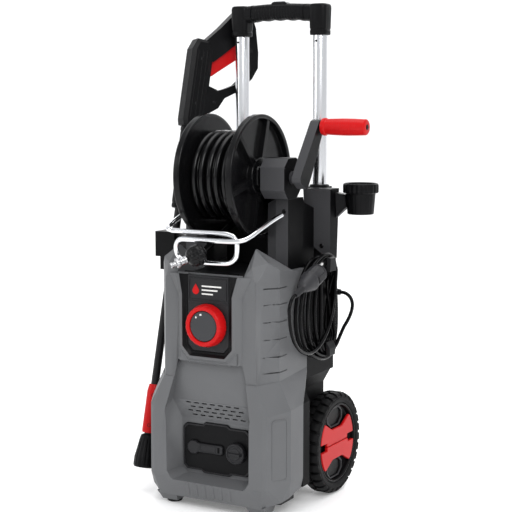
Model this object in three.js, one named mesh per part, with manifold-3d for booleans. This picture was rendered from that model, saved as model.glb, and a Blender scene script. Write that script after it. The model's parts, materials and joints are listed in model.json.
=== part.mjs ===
// Upright electric pressure washer with an on-board hose reel, two wheels, a telescopic handle,
// a parked trigger gun with its lance, a nozzle cup and a mains cord wound on two hooks.
// Units are millimetres, +Z is up, -Y is the front with the control panel, +X is the side with the
// crank and the mains cord. The origin is on the floor, below the middle of the machine.
import * as THREE from 'three';
import { ConvexGeometry } from 'three/addons/geometries/ConvexGeometry.js';
import { mergeVertices } from 'three/addons/utils/BufferGeometryUtils.js';
import Module from 'manifold-3d';

// ---------- driving dimensions ----------
const WALL = 3.5;              // moulded shell thickness
const GAP = 0.4;               // clearance between neighbouring pieces
const WHEEL_R = 100;           // tyre radius
const WHEEL_X0 = 118, WHEEL_X1 = 158; // tyre inner and outer face
const AXLE_R = 6;
const TUBE_X = 87.5, TUBE_Y = 47, TUBE_R = 14; // handle tubes
const TUBE_Z0 = 486, TUBE_Z1 = 905, TUBE_BORE_R = 12.4;
const HANDLE_TRAVEL = 225;
const REEL_Y = -135, REEL_Z = 626, REEL_R = 116;
const REEL_RIGHT = 60, REEL_LEFT = 63; // outer faces of the two flanges
const DRUM_R = 52, WINDING_R = 85.5;
const CRANK_Y = -75, CRANK_Z = 718;
const KNOB_Z = 355, PANEL_Y = -232;
const COVER_MID_X = 126, COVER_LOW_X = 151;
const WIRE_R = 4.6;
const HOSE_R = 5.5, CORD_R = 3.5;
// lance axis: foot and gun end of the inclined line on which the gun, lance and nozzle lie
const LANCE_A = new THREE.Vector3(-185, -172, 60);
const LANCE_B = new THREE.Vector3(-162, -4, 827);
// the whole machine is moved so that the middle of its footprint, without the mains cord, is at x = y = 0
const SHIFT_X = -19.606, SHIFT_Y = 73.271;

// ---------- solids ----------
const wasm = await Module();
wasm.setup();

function toSolid(geometry) {
  let g = geometry.clone();
  for (const a of Object.keys(g.attributes)) if (a !== 'position') g.deleteAttribute(a);
  g = mergeVertices(g, 1e-4);
  const pos = g.attributes.position, idx = g.index.array;
  const tri = [];
  let volume = 0;
  const a = new THREE.Vector3(), b = new THREE.Vector3(), c = new THREE.Vector3();
  for (let i = 0; i < idx.length; i += 3) {
    const [i0, i1, i2] = [idx[i], idx[i + 1], idx[i + 2]];
    if (i0 === i1 || i1 === i2 || i0 === i2) continue;
    tri.push(i0, i1, i2);
    a.fromBufferAttribute(pos, i0); b.fromBufferAttribute(pos, i1); c.fromBufferAttribute(pos, i2);
    volume += a.dot(b.cross(c));
  }
  if (volume < 0) for (let i = 0; i < tri.length; i += 3) [tri[i + 1], tri[i + 2]] = [tri[i + 2], tri[i + 1]];
  return new wasm.Manifold(new wasm.Mesh({
    numProp: 3, vertProperties: new Float32Array(pos.array), triVerts: new Uint32Array(tri),
  }));
}
function toGeometry(solid) {
  const m = solid.getMesh();
  const g = new THREE.BufferGeometry();
  g.setAttribute('position', new THREE.BufferAttribute(new Float32Array(m.vertProperties), 3));
  g.setIndex(new THREE.BufferAttribute(new Uint32Array(m.triVerts), 1));
  const flat = g.toNonIndexed();
  flat.computeVertexNormals();
  return flat;
}
const V = (p) => (p.isVector3 ? p : new THREE.Vector3(...p));
const hull = (points) => toSolid(new ConvexGeometry(points.map(V)));
const union = (...s) => s.reduce((p, q) => p.add(q));
const mirrorPts = (pts) => pts.concat(pts.map(([x, y, z]) => [-x, y, z]));
const box = (x0, x1, y0, y1, z0, z1) => {
  const g = new THREE.BoxGeometry(x1 - x0, y1 - y0, z1 - z0);
  g.translate((x0 + x1) / 2, (y0 + y1) / 2, (z0 + z1) / 2);
  return toSolid(g);
};
// frame with its local Y axis along `dir`, placed at `at`
const place = (g, at, dir) => {
  const q = new THREE.Quaternion().setFromUnitVectors(new THREE.Vector3(0, 1, 0), V(dir).clone().normalize());
  g.applyQuaternion(q);
  g.translate(...V(at).toArray());
  return g;
};
// straight cylinder or cone from point a to point b
const rod = (a, b, r0, r1 = r0, seg = 24) => {
  const A = V(a), B = V(b), d = B.clone().sub(A);
  return toSolid(place(new THREE.CylinderGeometry(r1, r0, d.length(), seg), A.clone().add(B).multiplyScalar(0.5), d));
};
// turned piece: profile is a list of [radius, distance along the axis]
const turned = (profile, at, dir, seg = 32) =>
  toSolid(place(new THREE.LatheGeometry(profile.map(([r, h]) => new THREE.Vector2(r, h)), seg), at, dir));
// closed ring profile: the outline closes on itself
const ring = (profile, at, dir, seg = 32) => turned([...profile, profile[0]], at, dir, seg);
// outline in the plane (u, v), extruded along w from w0 to w1
const prism = (outline, plane, w0, w1, curve = 6) => {
  const s = outline.isShape ? outline : new THREE.Shape(outline.map(([u, v]) => new THREE.Vector2(u, v)));
  const g = new THREE.ExtrudeGeometry(s, { depth: w1 - w0, bevelEnabled: false, curveSegments: curve });
  g.translate(0, 0, w0);
  const m = new THREE.Matrix4();
  if (plane === 'yz') m.makeBasis(new THREE.Vector3(0, 1, 0), new THREE.Vector3(0, 0, 1), new THREE.Vector3(1, 0, 0));
  if (plane === 'xz') m.makeBasis(new THREE.Vector3(1, 0, 0), new THREE.Vector3(0, 0, 1), new THREE.Vector3(0, 1, 0));
  if (plane !== 'xy') g.applyMatrix4(m);
  return toSolid(g);
};
// round bar swept along a smooth curve through the points
const sweep = (points, r, sides, steps, tension = 0.5) => {
  const path = new THREE.CatmullRomCurve3(points.map(V), false, 'centripetal', tension);
  const s = new THREE.Shape();
  for (let i = 0; i < sides; i++) {
    const t = (i / sides) * Math.PI * 2;
    const p = [r * Math.cos(t), r * Math.sin(t)];
    if (i === 0) s.moveTo(...p); else s.lineTo(...p);
  }
  s.closePath();
  return toSolid(new THREE.ExtrudeGeometry(s, { steps, bevelEnabled: false, extrudePath: path }));
};

const machine = new THREE.Group();
machine.name = 'pressure_washer';
const LOOK = {
  cover: [0x6d6f72, 0.55, 0], black: [0x1b1b1d, 0.5, 0], dark: [0x2b2b2e, 0.45, 0], red: [0xd9291f, 0.4, 0],
  rubber: [0x161616, 0.85, 0], tube: [0xc9ccd0, 0.25, 1], chrome: [0xdfe2e6, 0.12, 1], steel: [0x9a9da2, 0.35, 1],
  brass: [0xb08d3f, 0.3, 1], cast: [0x8d9094, 0.5, 1], white: [0xe6e6e0, 0.5, 0], cord: [0x141414, 0.6, 0],
  grey: [0x4a4b4e, 0.5, 0],
};
function add(name, solid, look) {
  const [color, roughness, metalness] = LOOK[look];
  const mesh = new THREE.Mesh(toGeometry(solid), new THREE.MeshStandardMaterial({ color, roughness, metalness }));
  mesh.name = name;
  machine.add(mesh);
  return mesh;
}
const both = (name, make, look) => { add(`${name}_right`, make(1), look); add(`${name}_left`, make(-1), look); };

// ---------- front cover ----------
// faceted outer volumes, lower block, hips, middle block and the two shoulders; o grows them
function coverVolume(grow, openBack, topDrop) {
  const g = (x, y, z) => [x + Math.sign(x) * grow, y < -120 && !(y === -140) ? y - grow : y + openBack, z];
  const P = (list) => hull(mirrorPts(list.map((p) => g(...p))));
  const low = P([[108, -229, 20], [140, -206, 31], [146, -186, 36], [147, -140, 45],
    [118, -238, 58], [126, -236, 62], [151, -189, 66], [151, -140, 66],
    [118, -239, 190], [126, -235, 196], [151, -189, 202], [151, -140, 206]]);
  const hips = P([[118, -239, 190], [126, -235, 196], [151, -189, 202], [151, -140, 206],
    [100, -228, 250], [126, -188, 254], [126, -78, 262], [126, -78, 240]]);
  const mid = P([[98, -226, 246], [126, -187, 250], [126, -78, 255], [97, -225, 439], [126, -187, 439], [126, -78, 440]]);
  const flat = P([[126, -187, 430], [126, -78, 430], [126, -131, 452 - topDrop], [126, -78, 452 - topDrop]]);
  const t = topDrop;
  const shoulder = (s) => hull([[66 + t, -224, 430], [97, -225, 430], [126, -187, 430], [66 + t, -131, 430],
    [66 + t, -224, 439 - t], [89, -225, 466 - t], [112, -205, 474 - t], [126, -187, 461 - t], [126, -131, 452 - t],
    [83 + t, -200, 497 - t], [83 + t, -194, 497 - t], [84 + t, -131, 458 - t]].map(([x, y, z]) => {
    const q = g(x, y, z);
    if (x < 86 + t) q[0] = x;
    if (y === -131) q[1] = y - Math.max(0, -grow);
    return [s * q[0], q[1], q[2]];
  }));
  return union(low, hips, mid, flat, shoulder(1), shoulder(-1));
}
const outer = coverVolume(0, 0, 0);
const lobe = (s, o) => hull([[s * (74 - o), -228 - o, 24], [s * (118 + o), -228 - o, 24], [s * (80 - o), -217 - o, 6 - o],
  [s * (112 + o), -217 - o, 6 - o], [s * (80 - o), -184 + o, 6 - o], [s * (112 + o), -184 + o, 6 - o],
  [s * (74 - o), -176 + o, 34], [s * (118 + o), -176 + o, 34]]);
// recessed mouth of the lower front: shallow trapezoid, sloping ramp, deep pocket
const mouth = (o) => {
  const cutA = hull(mirrorPts([[70 + o, -217 + o, 284 + o], [70 + o, -260, 284 + o], [88 + o, -217 + o, 206], [88 + o, -260, 206]]));
  const cutB = hull(mirrorPts([[88 + o, -217 + o, 206.01], [88 + o, -260, 206.01], [78 + o, -200 + o, 166], [97 + o, -260, 166]]));
  const cutC = hull(mirrorPts([[78 + o, -200 + o, 166.01], [97 + o, -260, 166.01], [78 + o, -200 + o, 72], [96 + o, -260, 66],
    [66 + o, -200 + o, 60 - o], [84 + o, -260, 48 - o]]));
  return union(cutA, cutB, cutC);
};
// boss for the control panel
const boss = hull(mirrorPts([[70, -224, 276], [70, -224, 450], [61, -231.5, 281], [61, -231.5, 447], [66, -229, 300]]));
const bossPocket = prism([[-44.5, 460], [44.5, 460], [44.5, 317], [34, 304.5], [-34, 304.5], [-44.5, 317]], 'xz', -240, -226);
const innerCover = coverVolume(-WALL, 12, WALL);
// open bottom of the shell
const innerFoot = hull(mirrorPts([[104, -224, -10], [140, -186, -10], [140, -120, -10], [104, -224, 40], [143, -186, 60], [143, -120, 60]]));
const innerLobe = (s) => hull([[s * 78, -224, 26], [s * 114, -224, 26], [s * 84, -213, 9.5], [s * 108, -213, 9.5],
  [s * 84, -188, 9.5], [s * 108, -188, 9.5], [s * 78, -170, 38], [s * 114, -170, 38]]);
const bossBack = box(-60, 60, -226, -215, 287, 436);
const wallBehind = union(mouth(WALL), box(-58, 58, -240, -221.6, 282, 449));
let shellInside = union(innerCover, bossBack).subtract(wallBehind);
const footOpening = innerFoot.subtract(union(mouth(WALL), lobe(1, 0), lobe(-1, 0)));
let cover = union(outer, boss, lobe(1, 0), lobe(-1, 0)).subtract(mouth(0)).subtract(bossPocket)
  .subtract(shellInside).subtract(footOpening).subtract(innerLobe(1)).subtract(innerLobe(-1));
// opening in the top for the black trough panel between the shoulders
cover = cover.subtract(hull(mirrorPts([[66, -221, 428], [66, -79, 428], [66, -224, 439], [83, -224, 498], [66, -70, 439], [83, -70, 498], [66, -70, 428]]))
  .subtract(box(-67, 67, -240, -221.5, 400, 448)));
// thin grooves round the front corners
const grooveSkin = outer.subtract(coverVolume(-2, 12, 2));
for (const z of [427, 397, 365, 333, 300, 271]) {
  for (const s of [-1, 1]) {
    const x0 = s > 0 ? 106 : -140, x1 = s > 0 ? 140 : -106;
    cover = cover.subtract(grooveSkin.intersect(box(x0, x1, -230, -158, z - 1.2, z + 1.2)));
  }
}
// rows of small slots in the ramp, cut right through
for (let row = 0; row < 4; row++) {
  for (let i = 0; i < 7; i++) {
    const x = -60 + i * 17.5 + (row % 2) * 8;
    const z = 201 - row * 8.5;
    const y = -217 + 17 * (206 - z) / 40;
    cover = cover.subtract(box(x, x + 11, y - 6, y + 9, z - 1.3, z + 1.3));
  }
}
add('front_cover', cover, 'cover');

// ---------- rear housing ----------
const coverKeep = union(coverVolume(GAP, 0.4, 0), box(-150, 150, -139.6, -110, 10, 20));
const rearPlan = (x, y0, yb, ch, z0, z1) => hull(mirrorPts([[x, y0, z0], [x, yb - ch, z0], [x - 19, yb, z0],
  [x, y0, z1], [x, yb - ch, z1], [x - 19, yb, z1]]));
const rearOuter = union(
  rearPlan(112, -112.5, 30, 8, 30, 240),
  hull(mirrorPts([[150, -139.5, 46], [150, -112, 46], [150, -139.5, 206], [150, -112, 206], [128, -139.5, 251], [128, -112, 251]])),
  hull(mirrorPts([[112, -112, 215], [112, 22, 215], [93, 30, 215], [112, -112, 225], [112, 22, 222], [125, -77.5, 240],
    [125, 38, 248], [106, 66, 252], [125, -77.5, 252]])),
  rearPlan(125, -77.5, 66, 28, 240, 452),
);
const rearInner = union(
  rearPlan(108.5, -150, 26.5, 8, 20, 240),
  hull(mirrorPts([[146.5, -150, 40], [146.5, -115.5, 40], [146.5, -150, 206], [146.5, -115.5, 206], [124, -150, 250], [124, -115.5, 250]])),
  hull(mirrorPts([[108.5, -112, 215], [108.5, 20, 219], [90, 26.5, 219], [121.5, -85, 244], [121.5, 37, 250], [104, 62.5, 254], [121.5, -85, 256], [104, -90, 215]])),
  rearPlan(121.5, -90, 62.5, 27, 246, 448.5),
);
const reelWall = hull(mirrorPts([[62, -58, 450], [62, -54, 450], [62, -58, 533], [62, -54, 533]]));
let rear = rearOuter.subtract(rearInner).subtract(coverKeep).add(reelWall);
for (const s of [-1, 1]) {
  rear = rear.subtract(rod([s * 100, 0, 100], [s * 120, 0, 100], AXLE_R + 0.8));
  rear = rear.subtract(rod([s * TUBE_X, TUBE_Y, 440], [s * TUBE_X, TUBE_Y, 460], TUBE_R + 1, TUBE_R + 1, 24));
}
// vent slots and fitting holes in the back
for (let i = 0; i < 7; i++) rear = rear.subtract(box(-45, 45, 55, 70, 330 + i * 13, 335 + i * 13));
rear = rear.subtract(rod([-40, 50, 290], [-40, 75, 290], 12.5)).subtract(rod([40, 50, 290], [40, 75, 290], 12.5));
rear = rear.subtract(rod([118, 20, 395], [130, 20, 395], 6.3, 6.3, 16));
add('rear_housing', rear, 'black');

// ---------- base and feet ----------
let tray = union(
  hull(mirrorPts([[108, -217, 24], [135, -195, 24], [135, -146, 24], [108, -217, 30], [135, -195, 33], [135, -146, 36], [100, -146, 36], [100, -190, 30]])),
  hull(mirrorPts([[108, -150, 24], [108, -150, 34], [108, 18, 24], [108, 18, 34], [90, 25, 24], [90, 25, 34]])),
);
tray = tray.subtract(union(lobe(1, GAP), lobe(-1, GAP))).subtract(mouth(WALL + GAP));
add('base_tray', tray, 'black');
both('foot', (s) => turned([[0, 0], [13, 0], [15, 2], [15, 5.6], [0, 5.6]], [s * 96, -200, 0], [0, 0, 1], 20), 'rubber');

// ---------- top trough, panels ----------
add('trough_panel', union(
  hull(mirrorPts([[65, -221, 440], [65, -79, 449], [65, -221, 443], [65, -79, 452]])),
  hull(mirrorPts([[58, -220.5, 440], [58, -217, 440], [58, -220.5, 450], [58, -217, 452]])),
), 'black');
add('control_panel', prism([[-44, 447], [44, 447], [44, 317.3], [33.6, 305], [-33.6, 305], [-44, 317.3]], 'xz', PANEL_Y, -226.4), 'dark');
add('power_knob', ring([[40, 0], [40, 7], [37, 20], [29, 20], [29, 0]], [0, PANEL_Y - 0.4, KNOB_Z], [0, -1, 0], 28), 'red');
add('knob_dial', turned([[0, 0], [28.6, 0], [28.6, 17.5], [0, 17.5]], [0, PANEL_Y - 0.4, KNOB_Z], [0, -1, 0], 24), 'grey');
{
  const o = [[-74, 76], [-74, 150], [-66, 158], [-30, 158], [-24, 163], [24, 163], [30, 158], [66, 158], [74, 150], [74, 76],
    [66, 68], [34, 68], [28, 63.5], [-28, 63.5], [-34, 68], [-66, 68]];
  let p = prism(o, 'xz', -203.5, -200.4);
  p = p.subtract(rod([46, -210, 112], [46, -195, 112], 15.5));
  add('lower_panel', p, 'black');
}
// service flap: a key-shaped cover clipped on the lower panel
add('service_flap', union(
  prism([[-58, 100], [-62, 106], [-62, 120], [-58, 126], [-8, 126], [-2, 120], [-2, 106], [-8, 100]], 'xz', -209.5, -203.9),
  prism([[-2.5, 108], [-2.5, 118], [12, 118], [16, 114], [16, 112], [12, 108]], 'xz', -208, -203.9),
  prism([[-56, 103], [-46, 103], [-46, 123], [-56, 123]], 'xz', -212, -203.9),
), 'dark');
add('detergent_cap', union(
  turned([[0, 0], [14.6, 0], [14.6, 4.3], [20, 4.8], [20, 13], [18, 15], [0, 15]], [46, -200.3, 112], [0, -1, 0], 24),
  hull([[32, -213, 108.5], [60, -213, 108.5], [32, -213, 115.5], [60, -213, 115.5], [34, -219, 110], [58, -219, 110], [34, -219, 114], [58, -219, 114]]),
), 'dark');

// ---------- wheels ----------
add('axle', turned([[0, -148], [AXLE_R, -148], [AXLE_R, 148], [0, 148]], [0, 0, 100], [1, 0, 0], 20), 'steel');
both('tyre', (s) => ring([[78.3, 3], [78.3, 37], [92, 40], [100, 34], [100, 6], [92, 0]],
  [s * WHEEL_X0, 0, 100], [s, 0, 0], 32), 'rubber');
both('rim', (s) => {
  let r = ring([[AXLE_R + 0.3, -3], [18, -3], [20, 8], [77.4, 5], [77.4, 37], [74, 37], [72, 25], [20, 25], [20, 30], [AXLE_R + 0.3, 30]],
    [s * WHEEL_X0, 0, 100], [s, 0, 0], 24);
  return r;
}, 'black');
// wheel insert: bow-tie plate with two side notches and a round pocket above and below the hub
both('wheel_cap', (s) => {
  const shape = [];
  const R = 71;
  const at = (deg, r = R) => [r * Math.cos(deg * Math.PI / 180), r * Math.sin(deg * Math.PI / 180)];
  // right side, counter-clockwise, with the notch at mid height
  shape.push(at(-62), at(-50), at(-35), at(-20), [R * 0.985, -7], [44, -7], [44, 7], [R * 0.985, 7], at(20), at(35), at(50), at(62));
  shape.push([20, 38], [14, 30], [-14, 30], [-20, 38]);
  shape.push(at(118), at(130), at(145), at(160), [-R * 0.985, 7], [-44, 7], [-44, -7], [-R * 0.985, -7], at(200), at(215), at(230), at(242));
  shape.push([-20, -38], [-14, -30], [14, -30], [20, -38]);
  const plate = prism(shape.map(([u, v]) => [u, v + 100]), 'yz', s > 0 ? WHEEL_X0 + 30.4 : -WHEEL_X0 - 37, s > 0 ? WHEEL_X0 + 37 : -WHEEL_X0 - 30.4);
  return plate;
}, 'red');

// ---------- handle ----------
both('handle_tube', (s) => ring([[TUBE_BORE_R, TUBE_Z0], [TUBE_R, TUBE_Z0], [TUBE_R, TUBE_Z1], [TUBE_BORE_R, TUBE_Z1]], [s * TUBE_X, TUBE_Y, 0], [0, 0, 1], 24), 'tube');
{
  const socket = (s) => hull([0, 1].flatMap((k) => Array.from({ length: 12 }, (_, i) => {
    const t = (i / 12) * Math.PI * 2, r = k ? 19 : 17.5;
    return [s * TUBE_X + r * Math.cos(t), TUBE_Y + r * Math.sin(t), k ? 945 : 890];
  })));
  const barPts = [];
  for (let i = 0; i <= 10; i++) { const u = i / 10 * 2 - 1; barPts.push([u * TUBE_X, TUBE_Y, 928 + 9 * (1 - u * u)]); }
  let bar = sweep(barPts, 18.5, 12, 8);
  const cap = (s) => hull(Array.from({ length: 12 }, (_, i) => {
    const t = (i / 12) * Math.PI * 2;
    return [[s * TUBE_X + 19 * Math.cos(t), TUBE_Y + 19 * Math.sin(t), 930], [s * TUBE_X + 19 * Math.cos(t), TUBE_Y + 19 * Math.sin(t), 945],
      [s * (TUBE_X - 3) + 12 * Math.cos(t), TUBE_Y + 12 * Math.sin(t), 950]];
  }).flat());
  let grip = union(bar, socket(1), socket(-1), cap(1), cap(-1));
  for (const s of [-1, 1]) grip = grip.subtract(rod([s * TUBE_X, TUBE_Y, 880], [s * TUBE_X, TUBE_Y, TUBE_Z1 + 0.4], TUBE_R + 0.3, TUBE_R + 0.3, 24));
  grip = grip.subtract(box(-16.5, 16.5, TUBE_Y - 9.5, TUBE_Y + 9.5, 946, 970));
  add('handle_grip', grip, 'black');
  add('release_button', hull([[-16, -9, 951], [16, -9, 951], [-16, 9, 951], [16, 9, 951], [-16, -9, 957], [16, -9, 957], [-16, 9, 957], [16, 9, 957],
    [-12, -6, 959.5], [12, -6, 959.5], [-12, 6, 959.5], [12, 6, 959.5]].map(([x, y, z]) => [x, y + TUBE_Y, z])), 'dark');
}

// ---------- towers that guide the tubes ----------
both('tower', (s) => {
  const P = (l) => hull(l.map(([x, y, z]) => [s * x, y, z]));
  let t = union(
    P([[70, 26, 452.6], [108, 26, 452.6], [70, 65, 452.6], [106, 65, 452.6], [70, 26, 598], [108, 26, 598], [70, 65, 598], [106, 65, 598]]),
    P([[86, -8, 497], [139, -8, 458], [86, 0, 497], [139, 0, 458], [80, -8, 597], [139, -8, 597], [80, 0, 597], [139, 0, 597]]),
    P([[108, 0, 480], [139, 0, 458], [108, 30, 480], [139, 22, 462], [108, 0, 597], [139, 0, 597], [108, 40, 597], [139, 30, 597]]),
    P([[84, -1, 500], [110, -1, 480], [84, 30, 500], [110, 30, 480], [84, -1, 597], [110, -1, 597], [84, 30, 597], [110, 30, 597]]),
  );
  t = t.subtract(rod([s * TUBE_X, TUBE_Y, 440], [s * TUBE_X, TUBE_Y, 620], TUBE_R + 0.6, TUBE_R + 0.6, 24));
  return t;
}, 'black');

// ---------- reel brackets and bearing heads ----------
both('reel_bracket', (s) => {
  const i = s > 0 ? 63 : 72; // inner edge, clear of the reel flange
  const P = (l) => hull(l.map(([x, y, z]) => [s * x, y, z]));
  return union(
    P([[86, -129.5, 452.6], [112, -129.5, 452.6], [86, -69, 452.6], [112, -69, 452.6], [86, -129.5, 585], [112, -129.5, 585], [86, -69, 585], [112, -69, 585]]),
    P([[90, -100, 560], [112, -118, 560], [90, -100, 585.2], [112, -118, 585.2], [90, -69, 585.2], [112, -69, 585.2], [90, -60, 560], [112, -60, 560]]),
    P([[88, -70, 452.6], [104, -70, 452.6], [88, -9, 452.6], [104, -9, 452.6], [88, -70, 580], [104, -70, 580], [88, -9, 560], [104, -9, 560]]
      .map(([x, y, z]) => [x, y, z])),
    P([[i, -118, 452.6], [87, -129.5, 452.6], [87, -80, 452.6], [i, -90, 452.6], [i, -118, 575], [87, -129.5, 585], [87, -80, 585], [i, -90, 575]]),
  );
}, 'black');
both('bearing_head', (s) => {
  const oct = [];
  const Y0 = -166, Y1 = -100, Z0 = 585.6, Z1 = 662, c = 17;
  oct.push([Y0, Z0 + c], [Y0 + c, Z0], [Y1 - c, Z0], [Y1, Z0 + c], [Y1, Z1 - c], [Y1 - c, Z1], [Y0 + c, Z1], [Y0, Z1 - c]);
  let h = prism(oct, 'yz', s > 0 ? 72 : -112, s > 0 ? 124 : -80);
  return h.subtract(rod([s * 60, REEL_Y, REEL_Z], [s * 130, REEL_Y, REEL_Z], 12.5, 12.5, 24));
}, 'dark');

// ---------- reel ----------
const RC = [0, REEL_Y, REEL_Z];
add('reel_shaft', turned([[0, -111], [12, -111], [12, 128], [7, 128], [7, 131], [0, 131]], RC, [1, 0, 0], 24), 'dark');
add('reel_drum', ring([[12.4, 14 - REEL_LEFT], [DRUM_R, 14 - REEL_LEFT], [DRUM_R, REEL_RIGHT - 14], [12.4, REEL_RIGHT - 14]], RC, [1, 0, 0], 24), 'black');
both('reel_flange', (s) => {
  const R = s > 0 ? REEL_RIGHT : REEL_LEFT;
  let f = ring([[12.4, R - 13.5], [REEL_R, R - 13.5], [REEL_R, R], [REEL_R - 9, R],
    [REEL_R - 10, R - 9.5], [34, R - 9.5], [32, R], [12.4, R]], RC, [s, 0, 0], 36);
  // stiffening ribs on the outer side
  for (let i = 0; i < 6; i++) {
    const t = (i / 6) * Math.PI * 2 + 0.26;
    const c = Math.cos(t), n = Math.sin(t);
    const at = (r, w, x) => [s * x, REEL_Y + r * c - w * n, REEL_Z + r * n + w * c];
    f = f.add(hull([at(33, -5, R - 10), at(33, 5, R - 10), at(106.5, -5, R - 10), at(106.5, 5, R - 10), at(33, -4, R - 3), at(33, 4, R - 3), at(106.5, -4, R - 3), at(106.5, 4, R - 3)]));
  }
  return f;
}, 'black');
add('hose_winding', ring([[DRUM_R + 0.4, 14.2 - REEL_LEFT], [WINDING_R, 14.2 - REEL_LEFT], [WINDING_R, REEL_RIGHT - 14.2], [DRUM_R + 0.4, REEL_RIGHT - 14.2]], RC, [1, 0, 0], 28), 'cord');
// crank: arm from the shaft end up and back to the grip pin
{
  const dy = CRANK_Y - REEL_Y, dz = CRANK_Z - REEL_Z, L = Math.hypot(dy, dz);
  const u = [dy / L, dz / L], w = [-u[1], u[0]];
  const at = (a, b) => [REEL_Y + u[0] * a + w[0] * b, REEL_Z + u[1] * a + w[1] * b];
  let arm = prism([at(-17, -12), at(-12, -18), at(12, -18), at(L + 4, -12), at(L + 12, -6), at(L + 12, 6), at(L + 4, 12), at(12, 18), at(-12, 18), at(-17, 12)], 'yz', 133, 152);
  arm = arm.add(rod([131.4, REEL_Y, REEL_Z], [134, REEL_Y, REEL_Z], 14, 14, 24));
  arm = arm.add(rod([150, CRANK_Y, CRANK_Z], [246, CRANK_Y, CRANK_Z], 5, 5, 16));
  add('crank_arm', arm, 'grey');
  add('crank_grip', ring([[5.4, 0], [14, 0], [16, 3], [16.5, 86], [14, 91], [5.4, 91]], [155, CRANK_Y, CRANK_Z], [1, 0, 0], 24), 'red');
}

// ---------- wire hose guide ----------
const WIRE = [[104, -140, 556], [100, -167, 548], [96, -205, 535], [92, -238, 523], [84, -253, 518], [68, -258, 516], [30, -259, 515.5], [-22, -259, 515.5],
  [-41, -258.5, 514.5], [-51, -255, 508], [-56, -251, 497], [-54, -247, 483], [-42, -244, 475], [-22, -243, 473], [38, -243, 473], [56, -243, 476],
  [67, -244, 486], [70, -245.5, 499], [70, -246.5, 513], [65, -247, 522], [54, -247.5, 527], [28, -248, 528.5], [-56, -249, 529], [-68, -249, 530],
  [-79, -243, 532], [-88, -222, 536], [-94, -198, 541], [-99, -167, 548], [-103, -140, 556]];
add('hose_guide_wire', sweep(WIRE, WIRE_R, 8, 54), 'chrome');

// ---------- hose end ----------
const STOP = [-2, -268, 488];
const HOSE_LEAD = [[2, -146, 534.9], [1.4, -170, 524.8], [0.6, -195, 514.2], [-0.4, -220, 503.7], [-1.6, -241.5, 494.6]];
add('hose_lead', sweep(HOSE_LEAD, HOSE_R, 10, 14), 'cord');
const STOP_DIR = new THREE.Vector3(-0.62, -0.62, -0.32).normalize();
add('hose_stopper', turned([[0, -19], [10, -19], [17, -15.5], [20.6, -8], [20.6, 8], [17, 15.5], [10, 19], [0, 19]], STOP, STOP_DIR, 20), 'black');
{
  const p = (h) => V(STOP).clone().addScaledVector(STOP_DIR, h);
  add('hose_coupling', union(rod(p(19.4), p(34), 7.5, 7.5, 16), rod(p(33), p(40), 9.5, 9.5, 16), rod(p(39), p(50), 5.5, 5.5, 16)), 'chrome');
}

// ---------- gun and lance ----------
const D = LANCE_B.clone().sub(LANCE_A).normalize();
const G = new THREE.Vector3(0.54, 0.84, 0); G.addScaledVector(D, -G.dot(D)).normalize();
const N = new THREE.Vector3().crossVectors(G, D); // across the gun
const O = LANCE_A.clone().addScaledVector(D, (700 - LANCE_A.z) / D.z);
const gp = (g, d, n = 0) => O.clone().addScaledVector(G, g).addScaledVector(D, d).addScaledVector(N, n);
// the gun is built in its own frame: u across towards the grip, v along the lance, w across the plate
const gunPlate = (pts, t) => prism(pts, 'xy', -t, t);
const slab = gunPlate;
const intoGunFrame = (mesh) => {
  mesh.setRotationFromMatrix(new THREE.Matrix4().makeBasis(G, D, N));
  mesh.position.copy(O);
};
const barrel = union(
  hull([[-20, 14], [-23, 26], [-23, 168], [-14, 190], [12, 190], [24, 170], [24, 26], [20, 14]].flatMap(([u, v]) => [[u, v, 13], [u, v, -13],
    [u * 0.62, Math.min(v, 184), 17], [u * 0.62, Math.min(v, 184), -17]])),
);
const gripBar = union(
  slab([[4, 150], [4, 188], [35, 224], [62, 260], [76, 200], [40, 163], [26, 150]], 14),
  slab([[62, 260], [76, 200], [100, 214], [112, 236], [92, 274], [74, 276]], 13),
  slab([[100, 214], [112, 236], [124, 190], [128, 158], [112, 152], [100, 196]], 12),
  slab([[112, 152], [128, 158], [118, 134], [96, 106], [84, 116], [98, 134]], 11),
  slab([[84, 116], [96, 106], [64, 84], [42, 70], [38, 92], [64, 104]], 11),
  slab([[14, 44], [24, 100], [42, 96], [62, 84], [50, 60], [24, 40]], 14),
);
// tapered sheath below the barrel, round the upper part of the lance
const sheath = rod([0, -151.6, 0], [0, 16, 0], 14.5, 17.5, 16);
let gunBody = union(barrel, gripBar, sheath).subtract(rod([0, -155, 0], [0, 36, 0], 8.6, 8.6, 16));
// pocket for the trigger blade
gunBody = gunBody.subtract(gunPlate([[17, 118], [44, 118], [44, 160], [82, 198], [82, 212], [68, 212], [17, 166]], 6.6));
intoGunFrame(add('gun_body', gunBody, 'black'));
intoGunFrame(add('gun_trigger', gunPlate([[19, 122], [30, 122], [43, 134], [80, 166], [77, 197], [64, 194], [40, 168], [19, 160]], 5.9), 'red'));
const LZ = (z) => LANCE_A.clone().addScaledVector(D, (z - LANCE_A.z) / D.z);
add('lance_tube', rod(LZ(99), gp(0, 35.5), 8, 8, 20), 'black');
add('lance_sleeve', ring([[8.3, 0], [12.5, 0], [13.5, 4], [13.5, 82], [11, 96], [8.3, 96]], LZ(113), D, 24), 'red');
add('spray_nozzle', ring([[4, 0], [20, 0], [21.5, 4], [21.5, 22], [18, 40], [14.5, 62], [8.4, 66], [8.4, 52], [4, 48]], LZ(46), D, 24), 'black');

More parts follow.
